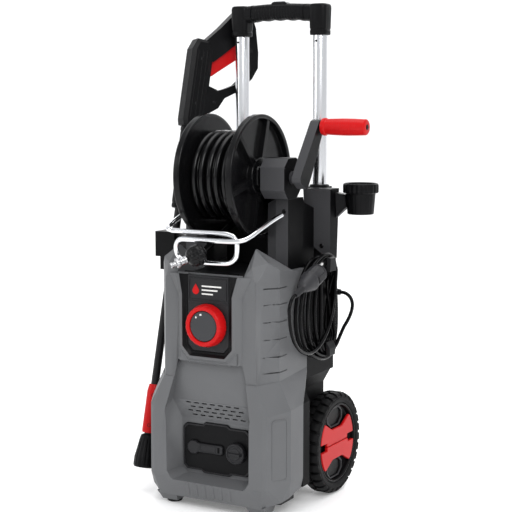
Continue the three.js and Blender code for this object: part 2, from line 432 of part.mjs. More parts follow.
// ---------- lance clip on the left bracket ----------
{
  const c = LZ(482), s0 = LZ(420), s1 = LZ(530);
  const blk = (x0, x1, y0, y1, z0, z1) => box(c.x + x0, c.x + x1, c.y + y0, c.y + y1, z0, z1);
  let clip = blk(-30, 15, -22, 16, 458, 508).add(blk(-20, -7, -20, 2, 432, 459));
  clip = clip.add(hull([[c.x + 12, c.y - 16, 462], [c.x + 12, c.y + 12, 462], [c.x + 12, c.y - 16, 502], [c.x + 12, c.y + 12, 502],
    [-112.4, -114, 460], [-112.4, -74, 460], [-112.4, -114, 504], [-112.4, -74, 504]]));
  clip = clip.subtract(rod(s0, s1, 10.5, 10.5, 20));
  // slot open to the rear, through which the lance is pressed in
  clip = clip.subtract(hull([[s0.x - 6.5, s0.y, 420], [s0.x + 6.5, s0.y, 420], [s0.x - 6.5, s0.y + 50, 420], [s0.x + 6.5, s0.y + 50, 420],
    [s1.x - 6.5, s1.y, 530], [s1.x + 6.5, s1.y, 530], [s1.x - 6.5, s1.y + 50, 530], [s1.x + 6.5, s1.y + 50, 530]]));
  add('lance_clip', clip, 'black');
}

// ---------- nozzle cup ----------
const CUP = [183, 35];
{
  let cup = turned([[0, 548], [25.5, 548], [28.5, 588], [34.5, 590], [34.5, 608], [0, 608]], [CUP[0], CUP[1], 0], [0, 0, 1], 24);
  const armSolid = hull([[139.6, 14, 540], [139.6, 24, 540], [139.6, 10, 590], [139.6, 28, 590], [CUP[0] - 20, CUP[1] - 14, 562], [CUP[0] - 20, CUP[1] + 8, 562],
    [CUP[0] - 20, CUP[1] - 14, 586], [CUP[0] - 20, CUP[1] + 8, 586]]);
  const inside = turned([[0, 552], [22.5, 552], [29.5, 600], [29.5, 612], [0, 612]], [CUP[0], CUP[1], 0], [0, 0, 1], 24);
  cup = cup.add(armSolid).subtract(inside);
  add('nozzle_cup', cup, 'black');
}

// ---------- cord hooks, gland, mains cord and plug ----------
const hook = (z, up) => {
  const z0 = z - 5, z1 = z + 5, e = up ? 1 : -1;
  return union(
    box(125.4, 152, -46, -18, z0, z1),
    hull([[151.5, -48, z - 6], [158, -46, z - 5], [151.5, -16, z - 6], [158, -18, z - 5], [151.5, -46, z + e * 22], [158, -43, z + e * 20],
      [151.5, -18, z + e * 22], [158, -21, z + e * 20], [151.5, -48, z + 6], [151.5, -16, z + 6]]),
  );
};
add('cord_hook_upper', hook(448, true), 'black');
add('cord_hook_lower', hook(300, false), 'black');
// hank: loops of cord over the upper and under the lower hook, bulging to the front
{
  const outline = [[-34, 474], [-60, 470], [-92, 456], [-126, 430], [-150, 398], [-160, 366], [-157, 336], [-138, 312], [-104, 290], [-70, 275], [-36, 272],
    [-14, 276], [0, 292], [8, 320], [10, 360], [10, 400], [4, 434], [-12, 455]];
  let hank = prism(outline, 'yz', 128.5, 150.5);
  hank = hank.subtract(hull([[127, -48, 458], [151, -48, 458], [127, -16, 458], [151, -16, 458], [127, -54, 436], [151, -54, 436], [127, -10, 436], [151, -10, 436],
    [127, -54, 312], [151, -54, 312], [127, -10, 312], [151, -10, 312], [127, -48, 290], [151, -48, 290], [127, -16, 290], [151, -16, 290]]));
  add('power_cord_hank', hank, 'cord');
}
// gland on the side of the rear housing, and the lead to the hank
add('cable_gland', turned([[0, -10], [6, -10], [6, 0.4], [9, 0.4], [9, 5], [7.5, 7], [6, 24], [0, 24]], [125, 20, 395], [1, 0, 0], 16), 'black');
const CORD_LEAD = [[149.9, 20, 395], [155, 20, 394], [160, 20, 390], [163.5, 19.6, 382], [164, 19, 368], [162, 18, 352], [157, 16.5, 338], [151, 15, 328], [146, 13.6, 321]];
add('cord_lead', sweep(CORD_LEAD, CORD_R, 8, 24), 'cord');
// mains plug lying on the hank
{
  const A = new THREE.Vector3(172, -214, 421), B = new THREE.Vector3(172, -96, 460);
  const d = B.clone().sub(A).normalize();
  let plug = turned([[0, 0], [5.5, 0], [7, 26], [10, 30], [15, 44], [18.5, 56], [19, 70], [18.5, 92], [17.5, 98], [0, 98]], A, d, 20);
  const side = new THREE.Vector3(0, d.z, -d.y);
  const pin = (k) => rod(A.clone().addScaledVector(d, 97).addScaledVector(side, k * 9.5), A.clone().addScaledVector(d, 117).addScaledVector(side, k * 9.5), 2.4, 2.4, 10);
  plug = union(plug, pin(1), pin(-1));
  add('mains_plug', plug, 'black');
}

// ---------- what works inside ----------
add('motor', ring([[6, 0], [62, 0], [62, 176], [6, 176]], [0, -62, 222], [0, 0, 1], 20), 'cast');
add('motor_fan', turned([[0, -20], [5.5, -20], [5.5, 6], [50, 8], [50, 22], [0, 26]], [0, -62, 398], [0, 0, 1], 20), 'black');
add('pump_head', union(hull([[-50, -104, 66], [50, -104, 66], [-50, -20, 66], [50, -20, 66], [-50, -104, 150], [50, -104, 150], [-50, -20, 150], [50, -20, 150]]),
  rod([0, -62, 149], [0, -62, 221.5], 44, 52, 24)), 'cast');
add('detergent_tank', hull([[-80, -190, 62], [80, -190, 62], [-80, -125, 56], [80, -125, 56], [-76, -190, 156], [76, -190, 156], [-80, -125, 156], [80, -125, 156]]), 'white');
add('switch_box', box(-30, 30, -212, -172, 322, 388), 'white');
add('water_inlet', turned([[0, -60], [8, -60], [8, 8.6], [16, 8.6], [16, 16], [13.5, 17], [13.5, 30], [0, 30]], [-40, 58, 290], [0, 1, 0], 16), 'brass');
add('high_pressure_outlet', turned([[0, -60], [8, -60], [8, 8.6], [15, 8.6], [15, 18], [10, 19], [10, 28], [0, 28]], [40, 58, 290], [0, 1, 0], 16), 'brass');

machine.position.set(SHIFT_X, SHIFT_Y, 0);
machine.updateMatrixWorld(true);
export default machine;
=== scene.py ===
import json
import math
import random
import bpy
import bmesh
from mathutils import Vector, Matrix, noise

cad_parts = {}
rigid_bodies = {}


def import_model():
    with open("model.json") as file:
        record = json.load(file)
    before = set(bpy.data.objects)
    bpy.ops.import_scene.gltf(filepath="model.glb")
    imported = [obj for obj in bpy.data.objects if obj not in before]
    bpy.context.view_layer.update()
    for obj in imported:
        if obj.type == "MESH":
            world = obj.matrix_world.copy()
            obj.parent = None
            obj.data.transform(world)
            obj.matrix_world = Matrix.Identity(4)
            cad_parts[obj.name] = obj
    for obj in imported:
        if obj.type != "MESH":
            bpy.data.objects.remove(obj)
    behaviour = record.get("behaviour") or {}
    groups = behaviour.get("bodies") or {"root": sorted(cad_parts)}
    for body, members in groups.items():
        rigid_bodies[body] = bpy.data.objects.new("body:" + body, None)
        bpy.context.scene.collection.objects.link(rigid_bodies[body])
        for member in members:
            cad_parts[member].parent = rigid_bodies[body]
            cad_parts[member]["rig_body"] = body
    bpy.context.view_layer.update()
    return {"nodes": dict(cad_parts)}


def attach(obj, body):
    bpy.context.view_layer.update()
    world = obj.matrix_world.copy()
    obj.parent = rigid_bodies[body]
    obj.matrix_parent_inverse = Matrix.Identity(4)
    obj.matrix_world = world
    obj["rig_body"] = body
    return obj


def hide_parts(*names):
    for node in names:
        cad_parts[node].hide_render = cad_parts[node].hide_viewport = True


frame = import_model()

NODES = frame["nodes"]
SX, SY = -19.606, 73.271          # the footprint's shift, as in the CAD model


def L(x, y, z):
    """a point in the machine's millimetres, as a point of the row frame in metres"""
    return Vector(((x + SX) / 1000, (y + SY) / 1000, z / 1000))


# ------------------------------------------------------------------ camera
cam_data = bpy.data.cameras.new("camera")
cam = bpy.data.objects.new("camera", cam_data)
bpy.context.scene.collection.objects.link(cam)
cam.location = L(1259.5, -2278.2, 774.1)
az, pt = math.radians(29.5), math.radians(6.9)
fwd = Vector((-math.sin(az) * math.cos(pt), math.cos(az) * math.cos(pt), -math.sin(pt)))
cam.rotation_mode = "QUATERNION"
cam.rotation_quaternion = fwd.to_track_quat("-Z", "Y")
cam_data.sensor_width = 36.0
cam_data.lens = 1320.0 / 512.0 * 36.0
cam_data.clip_start, cam_data.clip_end = 0.05, 60.0
bpy.context.scene.camera = cam


# ------------------------------------------------------------------ materials
def nd(nt, kind, x=0, y=0, **kw):
    n = nt.nodes.new(kind)
    n.location = (x, y)
    for k, v in kw.items():
        setattr(n, k, v)
    return n


def ramp(nt, lo, hi, x=0, y=0):
    r = nd(nt, "ShaderNodeMapRange", x, y)
    r.inputs["To Min"].default_value = lo
    r.inputs["To Max"].default_value = hi
    return r


def base_mat(name):
    m = bpy.data.materials.new(name)
    m.use_nodes = True
    nt = m.node_tree
    for n in list(nt.nodes):
        nt.nodes.remove(n)
    out = nd(nt, "ShaderNodeOutputMaterial", 600, 0)
    b = nd(nt, "ShaderNodeBsdfPrincipled", 300, 0)
    nt.links.new(b.outputs["BSDF"], out.inputs["Surface"])
    tc = nd(nt, "ShaderNodeTexCoord", -1200, 0)
    return m, nt, b, tc


def tint(nt, b, tc, base, var, scale, detail=4.0, soft=0.5):
    """colour that drifts a little over the surface"""
    n = nd(nt, "ShaderNodeTexNoise", -900, 300)
    n.inputs["Scale"].default_value = scale
    n.inputs["Detail"].default_value = detail
    n.inputs["Roughness"].default_value = soft
    nt.links.new(tc.outputs["Object"], n.inputs["Vector"])
    cr = nd(nt, "ShaderNodeValToRGB", -600, 300)
    e = cr.color_ramp.elements
    e[0].position, e[1].position = 0.3, 0.7
    e[0].color = (*[max(0.0, c * (1 - var)) for c in base], 1)
    e[1].color = (*[min(1.0, c * (1 + var)) for c in base], 1)
    nt.links.new(n.outputs["Fac"], cr.inputs["Fac"])
    nt.links.new(cr.outputs["Color"], b.inputs["Base Color"])
    return n, cr


def plastic(name, base, rough=0.45, var=0.05, grain=900.0, bump=0.12, drift=14.0, rvar=0.06, coat=0.0, spec=0.5, dist=0.0004):
    """moulded plastic with a spark-eroded grain, uneven gloss and slight colour drift"""
    m, nt, b, tc = base_mat(name)
    tint(nt, b, tc, base, var, drift)
    rn = nd(nt, "ShaderNodeTexNoise", -900, -50)
    rn.inputs["Scale"].default_value = drift * 4.3
    rn.inputs["Detail"].default_value = 6.0
    nt.links.new(tc.outputs["Object"], rn.inputs["Vector"])
    rr = ramp(nt, rough - rvar, rough + rvar, -600, -50)
    nt.links.new(rn.outputs["Fac"], rr.inputs["Value"])
    nt.links.new(rr.outputs["Result"], b.inputs["Roughness"])
    g = nd(nt, "ShaderNodeTexVoronoi", -900, -350)
    g.inputs["Scale"].default_value = grain
    nt.links.new(tc.outputs["Object"], g.inputs["Vector"])
    g2 = nd(nt, "ShaderNodeTexNoise", -900, -600)
    g2.inputs["Scale"].default_value = grain * 0.45
    g2.inputs["Detail"].default_value = 8.0
    nt.links.new(tc.outputs["Object"], g2.inputs["Vector"])
    mx = nd(nt, "ShaderNodeMath", -600, -450, operation="ADD")
    nt.links.new(g.outputs["Distance"], mx.inputs[0])
    nt.links.new(g2.outputs["Fac"], mx.inputs[1])
    bp = nd(nt, "ShaderNodeBump", -100, -350)
    bp.inputs["Strength"].default_value = bump
    bp.inputs["Distance"].default_value = dist
    nt.links.new(mx.outputs["Value"], bp.inputs["Height"])
    nt.links.new(bp.outputs["Normal"], b.inputs["Normal"])
    b.inputs["Specular IOR Level"].default_value = spec
    b.inputs["Coat Weight"].default_value = coat
    b.inputs["Coat Roughness"].default_value = 0.12
    return m


def metal(name, base, rough=0.2, stretch=(1, 1, 60), scale=40.0, var=0.04, rvar=0.08, bump=0.03):
    """metal with drawn or brushed streaks along one axis"""
    m, nt, b, tc = base_mat(name)
    mp = nd(nt, "ShaderNodeMapping", -1050, 0)
    mp.inputs["Scale"].default_value = stretch
    nt.links.new(tc.outputs["Object"], mp.inputs["Vector"])
    n = nd(nt, "ShaderNodeTexNoise", -850, 0)
    n.inputs["Scale"].default_value = scale
    n.inputs["Detail"].default_value = 8.0
    nt.links.new(mp.outputs["Vector"], n.inputs["Vector"])
    cr = nd(nt, "ShaderNodeValToRGB", -600, 300)
    cr.color_ramp.elements[0].color = (*[c * (1 - var) for c in base], 1)
    cr.color_ramp.elements[1].color = (*[min(1, c * (1 + var)) for c in base], 1)
    nt.links.new(n.outputs["Fac"], cr.inputs["Fac"])
    nt.links.new(cr.outputs["Color"], b.inputs["Base Color"])
    rr = ramp(nt, max(0.02, rough - rvar), rough + rvar, -600, -50)
    nt.links.new(n.outputs["Fac"], rr.inputs["Value"])
    nt.links.new(rr.outputs["Result"], b.inputs["Roughness"])
    bp = nd(nt, "ShaderNodeBump", -100, -350)
    bp.inputs["Strength"].default_value = bump
    bp.inputs["Distance"].default_value = 0.0002
    nt.links.new(n.outputs["Fac"], bp.inputs["Height"])
    nt.links.new(bp.outputs["Normal"], b.inputs["Normal"])
    b.inputs["Metallic"].default_value = 1.0
    return m


M = {
    "cover": plastic("cover_grey_plastic", (0.108, 0.110, 0.114), 0.46, 0.045, 1100, 0.12, 9.0, 0.05, spec=0.30),
    "black": plastic("black_moulded_plastic", (0.0040, 0.0040, 0.0045), 0.36, 0.16, 1200, 0.10, 12.0, 0.07, spec=0.10),
    "gloss": plastic("black_satin_plastic", (0.0032, 0.0032, 0.0036), 0.22, 0.10, 1500, 0.05, 16.0, 0.05, coat=0.05, spec=0.16),
    "dark": plastic("dark_grey_plastic", (0.0290, 0.0290, 0.0315), 0.40, 0.10, 1200, 0.10, 12.0, 0.06, spec=0.22),
    "panel": plastic("panel_charcoal_plastic", (0.0125, 0.0125, 0.0140), 0.36, 0.08, 1300, 0.08, 14.0, 0.05, spec=0.22),
    # painted light: lighter charcoal put only on the forward-facing faces of the towers, reel brackets, bearing heads
    # and crank arm, so they read as lit against their darker sides
    "painted_lit_front": plastic("charcoal_plastic_painted_lit_front", (0.048, 0.048, 0.051), 0.42, 0.08, 1200, 0.10, 12.0, 0.06, spec=0.20),
    # near-black of the rear housing, also used as painted shade on the side faces of the towers, reel brackets and
    # bearing heads and in the service flap's notch and the gap round the flap
    "black_and_painted_shade": plastic("black_plastic_and_painted_shade", (0.0024, 0.0024, 0.0027), 0.50, 0.10, 1300, 0.08, 14.0, 0.05, spec=0.06),
    "red": plastic("red_gloss_plastic", (0.47, 0.0055, 0.0065), 0.33, 0.03, 1500, 0.012, 18.0, 0.04, coat=0.04, spec=0.13),
    "dial": plastic("dial_grey_plastic", (0.036, 0.037, 0.040), 0.38, 0.06, 1400, 0.08, 20.0, 0.05, spec=0.25),
    "tyre": plastic("tyre_rubber", (0.0042, 0.0042, 0.0045), 0.58, 0.22, 700, 0.25, 26.0, 0.08, spec=0.10),
    "rubber": plastic("foot_rubber", (0.009, 0.009, 0.009), 0.75, 0.15, 800, 0.3, 20.0, 0.06, spec=0.2),
    "hose": plastic("hose_rubber", (0.0026, 0.0026, 0.0030), 0.20, 0.15, 1300, 0.06, 30.0, 0.05, coat=0.06, spec=0.20),
    "cord": plastic("cord_pvc", (0.0020, 0.0020, 0.0023), 0.22, 0.12, 1400, 0.05, 40.0, 0.04, spec=0.10),
    "white": plastic("natural_plastic", (0.62, 0.61, 0.58), 0.4, 0.03, 900, 0.1, 10.0, 0.04),
    "mark": plastic("white_print", (0.72, 0.72, 0.70), 0.5, 0.03, 1500, 0.05, 30.0, 0.03),
    "alu": metal("anodised_tube", (0.80, 0.81, 0.83), 0.2, (60, 60, 1.5), 12.0, 0.05, 0.06, 0.03),
    "chrome": metal("chrome_wire", (0.80, 0.81, 0.83), 0.10, (1, 1, 1), 60.0, 0.02, 0.03, 0.02),
    "fitting": metal("turned_fitting_steel", (0.34, 0.34, 0.35), 0.26, (60, 1, 1), 30.0, 0.08, 0.08, 0.05),
    "nickel": metal("nickel_plated_pin", (0.88, 0.88, 0.86), 0.40, (1, 1, 1), 120.0, 0.02, 0.05, 0.02),
    "steel": metal("turned_steel", (0.46, 0.46, 0.47), 0.32, (60, 1, 1), 30.0, 0.08, 0.08, 0.05),
    "screw": metal("blackened_screw", (0.020, 0.020, 0.021), 0.34, (1, 1, 1), 200.0, 0.1, 0.06, 0.05),
    "cast": metal("cast_aluminium", (0.42, 0.43, 0.44), 0.5, (1, 1, 1), 300.0, 0.1, 0.1, 0.35),
    "brass": metal("turned_brass", (0.62, 0.44, 0.17), 0.28, (1, 60, 1), 30.0, 0.06, 0.08, 0.05),
    "lance": plastic("black_powder_coat", (0.0060, 0.0060, 0.0066), 0.36, 0.1, 1600, 0.2, 20.0, 0.05, spec=0.26),
}


# ------------------------------------------------------------------ mesh helpers
def finish_obj(o, body, mat, replaces=()):
    o.data.materials.clear()
    o.data.materials.append(M[mat])
    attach(o, body)
    if replaces:
        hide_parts(*replaces)
    return o


def new_obj(name, bm, body, mat, replaces=(), smooth=35.0, bevel=0.0, seg=2, ang=28.0, recalc=True, subsurf=0):
    if recalc:
        bmesh.ops.recalc_face_normals(bm, faces=bm.faces)
    me = bpy.data.meshes.new(name)
    bm.to_mesh(me)
    bm.free()
    o = bpy.data.objects.new(name, me)
    bpy.context.scene.collection.objects.link(o)
    for p in me.polygons:
        p.use_smooth = True
    if bevel:
        b = o.modifiers.new("bevel", "BEVEL")
        b.width, b.segments, b.limit_method = bevel, seg, "ANGLE"
        b.angle_limit = math.radians(ang)
        b.miter_outer = "MITER_ARC"
        b.use_clamp_overlap = True
        w = o.modifiers.new("normals", "WEIGHTED_NORMAL")
        w.keep_sharp = False
        w.weight = 60
    elif smooth:
        me.set_sharp_from_angle(angle=math.radians(smooth))
    if subsurf:
        s = o.modifiers.new("subdivision", "SUBSURF")
        s.levels = s.render_levels = subsurf
    return finish_obj(o, body, mat, replaces)


def add_hull(bm, pts):
    vs = [bm.verts.new(p) for p in pts]
    r = bmesh.ops.convex_hull(bm, input=vs)
    bad = [g for g in r["geom_interior"] if isinstance(g, bmesh.types.BMVert)]
    bad += [g for g in r["geom_unused"] if isinstance(g, bmesh.types.BMVert)]
    bmesh.ops.delete(bm, geom=list(set(v for v in bad if v.is_valid)), context="VERTS")
    return bm


def hull_bm(*groups):
    bm = bmesh.new()
    for g in groups:
        b2 = bmesh.new()
        add_hull(b2, g)
        bmesh.ops.dissolve_limit(b2, angle_limit=0.01, verts=b2.verts, edges=b2.edges)
        me = bpy.data.meshes.new("t")
        b2.to_mesh(me)
        b2.free()
        bm.from_mesh(me)
        bpy.data.meshes.remove(me)
    return bm


def boxpts(x0, x1, y0, y1, z0, z1):
    return [L(x, y, z) for x in (x0, x1) for y in (y0, y1) for z in (z0, z1)]


def frame_of(d):
    d = Vector(d).normalized()
    up = Vector((0, 0, 1)) if abs(d.z) < 0.9 else Vector((0, 1, 0))
    u = up.cross(d).normalized()
    return u, d.cross(u).normalized(), d


def lathe_bm(profile, at, direction, seg=64, closed=False, wobble=None, bm=None):
    """turned piece: [radius mm, distance mm along direction] from a base point in machine mm"""
    bm = bm or bmesh.new()
    u, w, d = frame_of(direction)
    base = L(*at)
    rings = []
    for r, h in profile:
        if r < 1e-6:
            rings.append([bm.verts.new(base + d * (h / 1000))])
            continue
        row = []
        for i in range(seg):
            t = 2 * math.pi * i / seg
            rr = r if wobble is None else wobble(r, h, t)
            row.append(bm.verts.new(base + d * (h / 1000) + (u * math.cos(t) + w * math.sin(t)) * (rr / 1000)))
        rings.append(row)
    pairs = list(zip(rings, rings[1:]))
    if closed:
        pairs.append((rings[-1], rings[0]))
    for a, b in pairs:
        for i in range(seg):
            j = (i + 1) % seg
            if len(a) == 1 and len(b) == 1:
                continue
            if len(a) == 1:
                bm.faces.new((a[0], b[i], b[j]))
            elif len(b) == 1:
                bm.faces.new((a[i], b[0], a[j]))
            else:
                bm.faces.new((a[i], b[i], b[j], a[j]))
    return bm


def rounded(profile, radius, n=4, closed=False):
    """profile with its corners rounded by arcs, so that turned edges catch light"""
    out = []
    N = len(profile)
    for i, p in enumerate(profile):
        if not closed and i in (0, N - 1):
            out.append(p)
            continue
        a, b, c = Vector(profile[i - 1]), Vector(p), Vector(profile[(i + 1) % N])
        u, v = a - b, c - b
        lu, lv = u.length, v.length
        if lu < 1e-6 or lv < 1e-6 or p[0] < 1e-6:
            out.append(p)
            continue
        r = min(radius, lu * 0.45, lv * 0.45)
        s, e = b + u.normalized() * r, b + v.normalized() * r
        for k in range(n + 1):
            t = k / n
            q = s.lerp(b, t).lerp(b.lerp(e, t), t)
            out.append((q.x, q.y))
    return out


def prism_bm(outline, plane, w0, w1, bm=None):
    """outline (u, v) in machine mm, extruded along the third axis"""
    bm = bm or bmesh.new()
    f = {"yz": lambda u, v, w: L(w, u, v), "xz": lambda u, v, w: L(u, w, v), "xy": lambda u, v, w: L(u, v, w)}[plane]
    a = [bm.verts.new(f(u, v, w0)) for u, v in outline]
    b = [bm.verts.new(f(u, v, w1)) for u, v in outline]
    bm.faces.new(a)
    bm.faces.new(list(reversed(b)))
    n = len(outline)
    for i in range(n):
        bm.faces.new((a[i], b[i], b[(i + 1) % n], a[(i + 1) % n]))
    return bm


def smooth_path(pts, per=10, closed=False):
    """centripetal-like Catmull-Rom through the points"""
    P = [Vector(p) for p in pts]
    n = len(P)
    out = []
    last = n if closed else n - 1
    for i in range(last):
        p0 = P[(i - 1) % n] if (closed or i > 0) else P[0] * 2 - P[1]
        p1, p2 = P[i], P[(i + 1) % n]
        p3 = P[(i + 2) % n] if (closed or i + 2 < n) else P[-1] * 2 - P[-2]
        for k in range(per):
            t = k / per
            out.append(0.5 * ((2 * p1) + (p2 - p0) * t + (2 * p0 - 5 * p1 + 4 * p2 - p3) * t * t + (3 * p1 - p0 - 3 * p2 + p3) * t ** 3))
    if not closed:
        out.append(P[-1].copy())
    return out


def curve_obj(name, pts, radius, body, mat, replaces=(), res=4):
    """round cord or wire: a curve of one open spline through the points (metres)"""
    c = bpy.data.curves.new(name, "CURVE")
    c.dimensions = "3D"
    c.bevel_depth = radius
    c.bevel_resolution = res
    c.use_fill_caps = True
    s = c.splines.new("POLY")
    s.points.add(len(pts) - 1)
    for p, q in zip(s.points, pts):
        p.co = (*q, 1)
    s.use_smooth = True
    o = bpy.data.objects.new(name, c)
    bpy.context.scene.collection.objects.link(o)
    return finish_obj(o, body, mat, replaces)


def join_bm(dst, src_bm):
    me = bpy.data.meshes.new("t")
    src_bm.to_mesh(me)
    src_bm.free()
    dst.from_mesh(me)
    bpy.data.meshes.remove(me)
    return dst


def cad_bm(node):
    bm = bmesh.new()
    bm.from_mesh(NODES[node].data)
    bmesh.ops.remove_doubles(bm, verts=bm.verts, dist=4e-6)
    bmesh.ops.dissolve_degenerate(bm, dist=1e-6, edges=bm.edges)
    bmesh.ops.dissolve_limit(bm, angle_limit=math.radians(0.6), verts=bm.verts, edges=bm.edges)
    return bm


def from_cad(node, mat, bevel=0.0014, seg=3, ang=24.0, name=None, extra=(), sides=None, keep=None):
    """the CAD solid with its edges rounded as a mould leaves them; sides names a second, darker material
    put as painted shade on the faces that do not look forward, so that the forward faces read as lit; keep(a, b) says
    which edges stay sharp"""
    bm = cad_bm(node)
    me = bpy.data.meshes.new(name or node + "_moulded")
    bmesh.ops.recalc_face_normals(bm, faces=bm.faces)
    if keep:
        lay = bm.edges.layers.float.new("bevel_weight_edge")
        for e in bm.edges:
            if len(e.link_faces) == 2 and e.calc_face_angle(0.0) > math.radians(ang) and not keep(*[(v.co.x * 1000 - SX, v.co.y * 1000 - SY, v.co.z * 1000) for v in e.verts]):
                e[lay] = 1.0
    bm.to_mesh(me)
    bm.free()
    if "custom_normal" in me.attributes:
        me.attributes.remove(me.attributes["custom_normal"])
    o = bpy.data.objects.new(me.name, me)
    bpy.context.scene.collection.objects.link(o)
    for p in me.polygons:
        p.use_smooth = True
    b = o.modifiers.new("bevel", "BEVEL")
    b.width, b.segments = bevel, seg
    b.limit_method = "WEIGHT" if keep else "ANGLE"
    b.angle_limit = math.radians(ang)
    b.miter_outer = "MITER_ARC"
    w = o.modifiers.new("normals", "WEIGHTED_NORMAL")
    w.weight = 60
    finish_obj(o, NODES[node]["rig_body"], mat, (node,) + tuple(extra))
    # painted light and shade: faces whose normal looks forward (y below -0.42) keep the first, lighter material as
    # painted light, all other faces get the darker sides material as painted shade
    if sides:
        me.materials.append(M[sides])
        for p in me.polygons:
            p.material_index = 0 if p.normal.y < -0.42 else 1
    return o


def apply_mods(o):
    dg = bpy.context.evaluated_depsgraph_get()
    e = o.evaluated_get(dg)
    me = bpy.data.meshes.new_from_object(e)
    o.modifiers.clear()
    o.data = me
    return o


# ------------------------------------------------------------------ cords first
# hose on the reel: layers of turns between the flanges, then a loose top layer
RY, RZ = -135.0, 626.0
HOSE_R = 5.5


def wound(x_lo, x_hi, radii, turns, start=0.0, per=40):
    pts, th, x = [], start, x_lo
    direction = 1
    for k, (r, n) in enumerate(zip(radii, turns)):
        x0, x1 = (x_lo, x_hi) if direction > 0 else (x_hi, x_lo)
        steps = int(n * per)
        for i in range(steps + 1):
            a = th + 2 * math.pi * n * i / steps
            xx = x0 + (x1 - x0) * i / steps
            rr = r
            if k == len(radii) - 1:
                xx += 0.9 * math.sin(a * 0.5 + 0.7) * math.sin(math.pi * i / steps)
            pts.append((xx, rr, a))
        th += 2 * math.pi * n
        if k + 1 < len(radii):
            rise = int(per * 0.45)
            for i in range(1, rise):
                s = i / rise
                s2 = s * s * (3 - 2 * s)
                pts.append((x1, r + (radii[k + 1] - r) * s2, th + 2 * math.pi * 0.45 * s))
            th += 2 * math.pi * 0.45
        direction = -direction
    return pts, th


hx0, hx1 = -48.8 + 5.7, 45.8 - 5.7
wp, th_end = wound(hx0, hx1, [57.9, 69.0, 79.9], [7.5, 7.5, 5.1])
# the last part of a turn lies over the others, back to the middle, and leaves towards the front
x_last, r_last = wp[-1][0], 79.9
for i in range(1, 29):
    t = i / 28
    e = t * t * (3 - 2 * t)
    wp.append((x_last + (2.0 - x_last) * e, r_last + 11.3 * min(1.0, 1.6 * e), th_end + 2 * math.pi * 0.72 * t))
th_end += 2 * math.pi * 0.72
leave = math.radians(-56)
wind_pts = [L(x, RY + r * math.cos(leave + th_end - a), RZ + r * math.sin(leave + th_end - a)) for x, r, a in wp]
HOSE_LEAD = [[2, -146, 534.9], [1.4, -170, 524.8], [0.6, -195, 514.2], [-0.4, -220, 503.7], [-1.6, -241.5, 494.6]]
p_end, lead0 = wind_pts[-1].copy(), L(*HOSE_LEAD[0])
t0 = (wind_pts[-1] - wind_pts[-2]).normalized()
t1 = (L(*HOSE_LEAD[1]) - lead0).normalized()
gap = (lead0 - p_end).length
for i in range(1, 9):
    t = i / 8
    h0, h1, h2, h3 = 2 * t ** 3 - 3 * t * t + 1, t ** 3 - 2 * t * t + t, -2 * t ** 3 + 3 * t * t, t ** 3 - t * t
    wind_pts.append(p_end * h0 + t0 * gap * h1 + lead0 * h2 + t1 * gap * h3)


def tube_mesh(name, pts, r, body, mat, replaces=(), sides=14, closed=False, radius=None):
    """round tube through the points, with frames carried along so that it never twists"""
    bm = bmesh.new()
    n = len(pts)
    tangents = []
    for i in range(n):
        a, b = pts[max(0, i - 1)], pts[min(n - 1, i + 1)]
        if closed:
            a, b = pts[(i - 1) % n], pts[(i + 1) % n]
        tangents.append((b - a).normalized())
    u = tangents[0].orthogonal().normalized()
    rings = []
    for i in range(n):
        t = tangents[i]
        u = (u - t * u.dot(t)).normalized()
        w = t.cross(u)
        rr = r if radius is None else radius(i, n)
        rings.append([bm.verts.new(pts[i] + (u * math.cos(2 * math.pi * k / sides) + w * math.sin(2 * math.pi * k / sides)) * rr) for k in range(sides)])
    for a, b in zip(rings, rings[1:]):
        for k in range(sides):
            bm.faces.new((a[k], a[(k + 1) % sides], b[(k + 1) % sides], b[k]))
    if not closed:
        bm.faces.new(list(reversed(rings[0])))
        bm.faces.new(rings[-1])
    return new_obj(name, bm, body, mat, replaces, smooth=50)


tube_mesh("hose_winding_turns", wind_pts, HOSE_R / 1000, "reel", "hose", ("hose_winding",), sides=12)
lead_pts = smooth_path([L(*p) for p in HOSE_LEAD], 8)
hose_lead = curve_obj("hose_end", lead_pts, HOSE_R / 1000, "machine", "hose", ("hose_lead",), res=6)

# mains lead: from the gland, down to the hank, round both hooks ten times, and up to the plug
CR = 3.5
CORD_LEAD = [[149.9, 20, 395], [157.5, 20, 394.2], [165.5, 20, 390.4], [171.6, 19.8, 383.6], [174.6, 19.2, 374.6], [174.4, 18.4, 364.4], [171.4, 17.2, 353], [166.4, 15.6, 341], [160.4, 13.0, 329.5], [154.8, 8.6, 318.5]]
PLUG_A, PLUG_B = Vector((172, -214, 421)), Vector((172, -96, 460))
PD = (PLUG_B - PLUG_A).normalized()
route = [Vector(p) for p in CORD_LEAD]
LOOPS = 10
XL = [132.3, 139.6, 146.9]
for i in range(LOOPS):
    k = [2, 0, 1][i % 3]
    j = (LOOPS - 1 - i) // 3
    x = XL[k]
    jj = min(j, 2)
    yf = -153 + 10.2 * i if i else -152
    yr = 6.0 - 7.0 * (2 - jj) if i else 9.0
    top, bot = 461.0 + 7.0 * jj, 287.0 - 7.0 * jj
    # each loop: down at the back, forward under the lower hook, up in front, back over the upper hook
    if i:
        route.append(Vector((x, yr, 378)))
        route.append(Vector((x, yr - 3, 330)))
    route.append(Vector((x, yr - 14, bot + 11)))
    route.append(Vector((x, -34, bot)))
    route.append(Vector((x, -34 + (yf + 34) * 0.55, bot + 12)))
    route.append(Vector((x, -34 + (yf + 34) * 0.9, bot + 44)))
    route.append(Vector((x, yf, 372)))
    route.append(Vector((x, -34 + (yf + 34) * 0.86, 424)))
    route.append(Vector((x, -34 + (yf + 34) * 0.5, top - 8)))
    route.append(Vector((x, -34, top)))
    route.append(Vector((x, yr - 13, top - 16)))
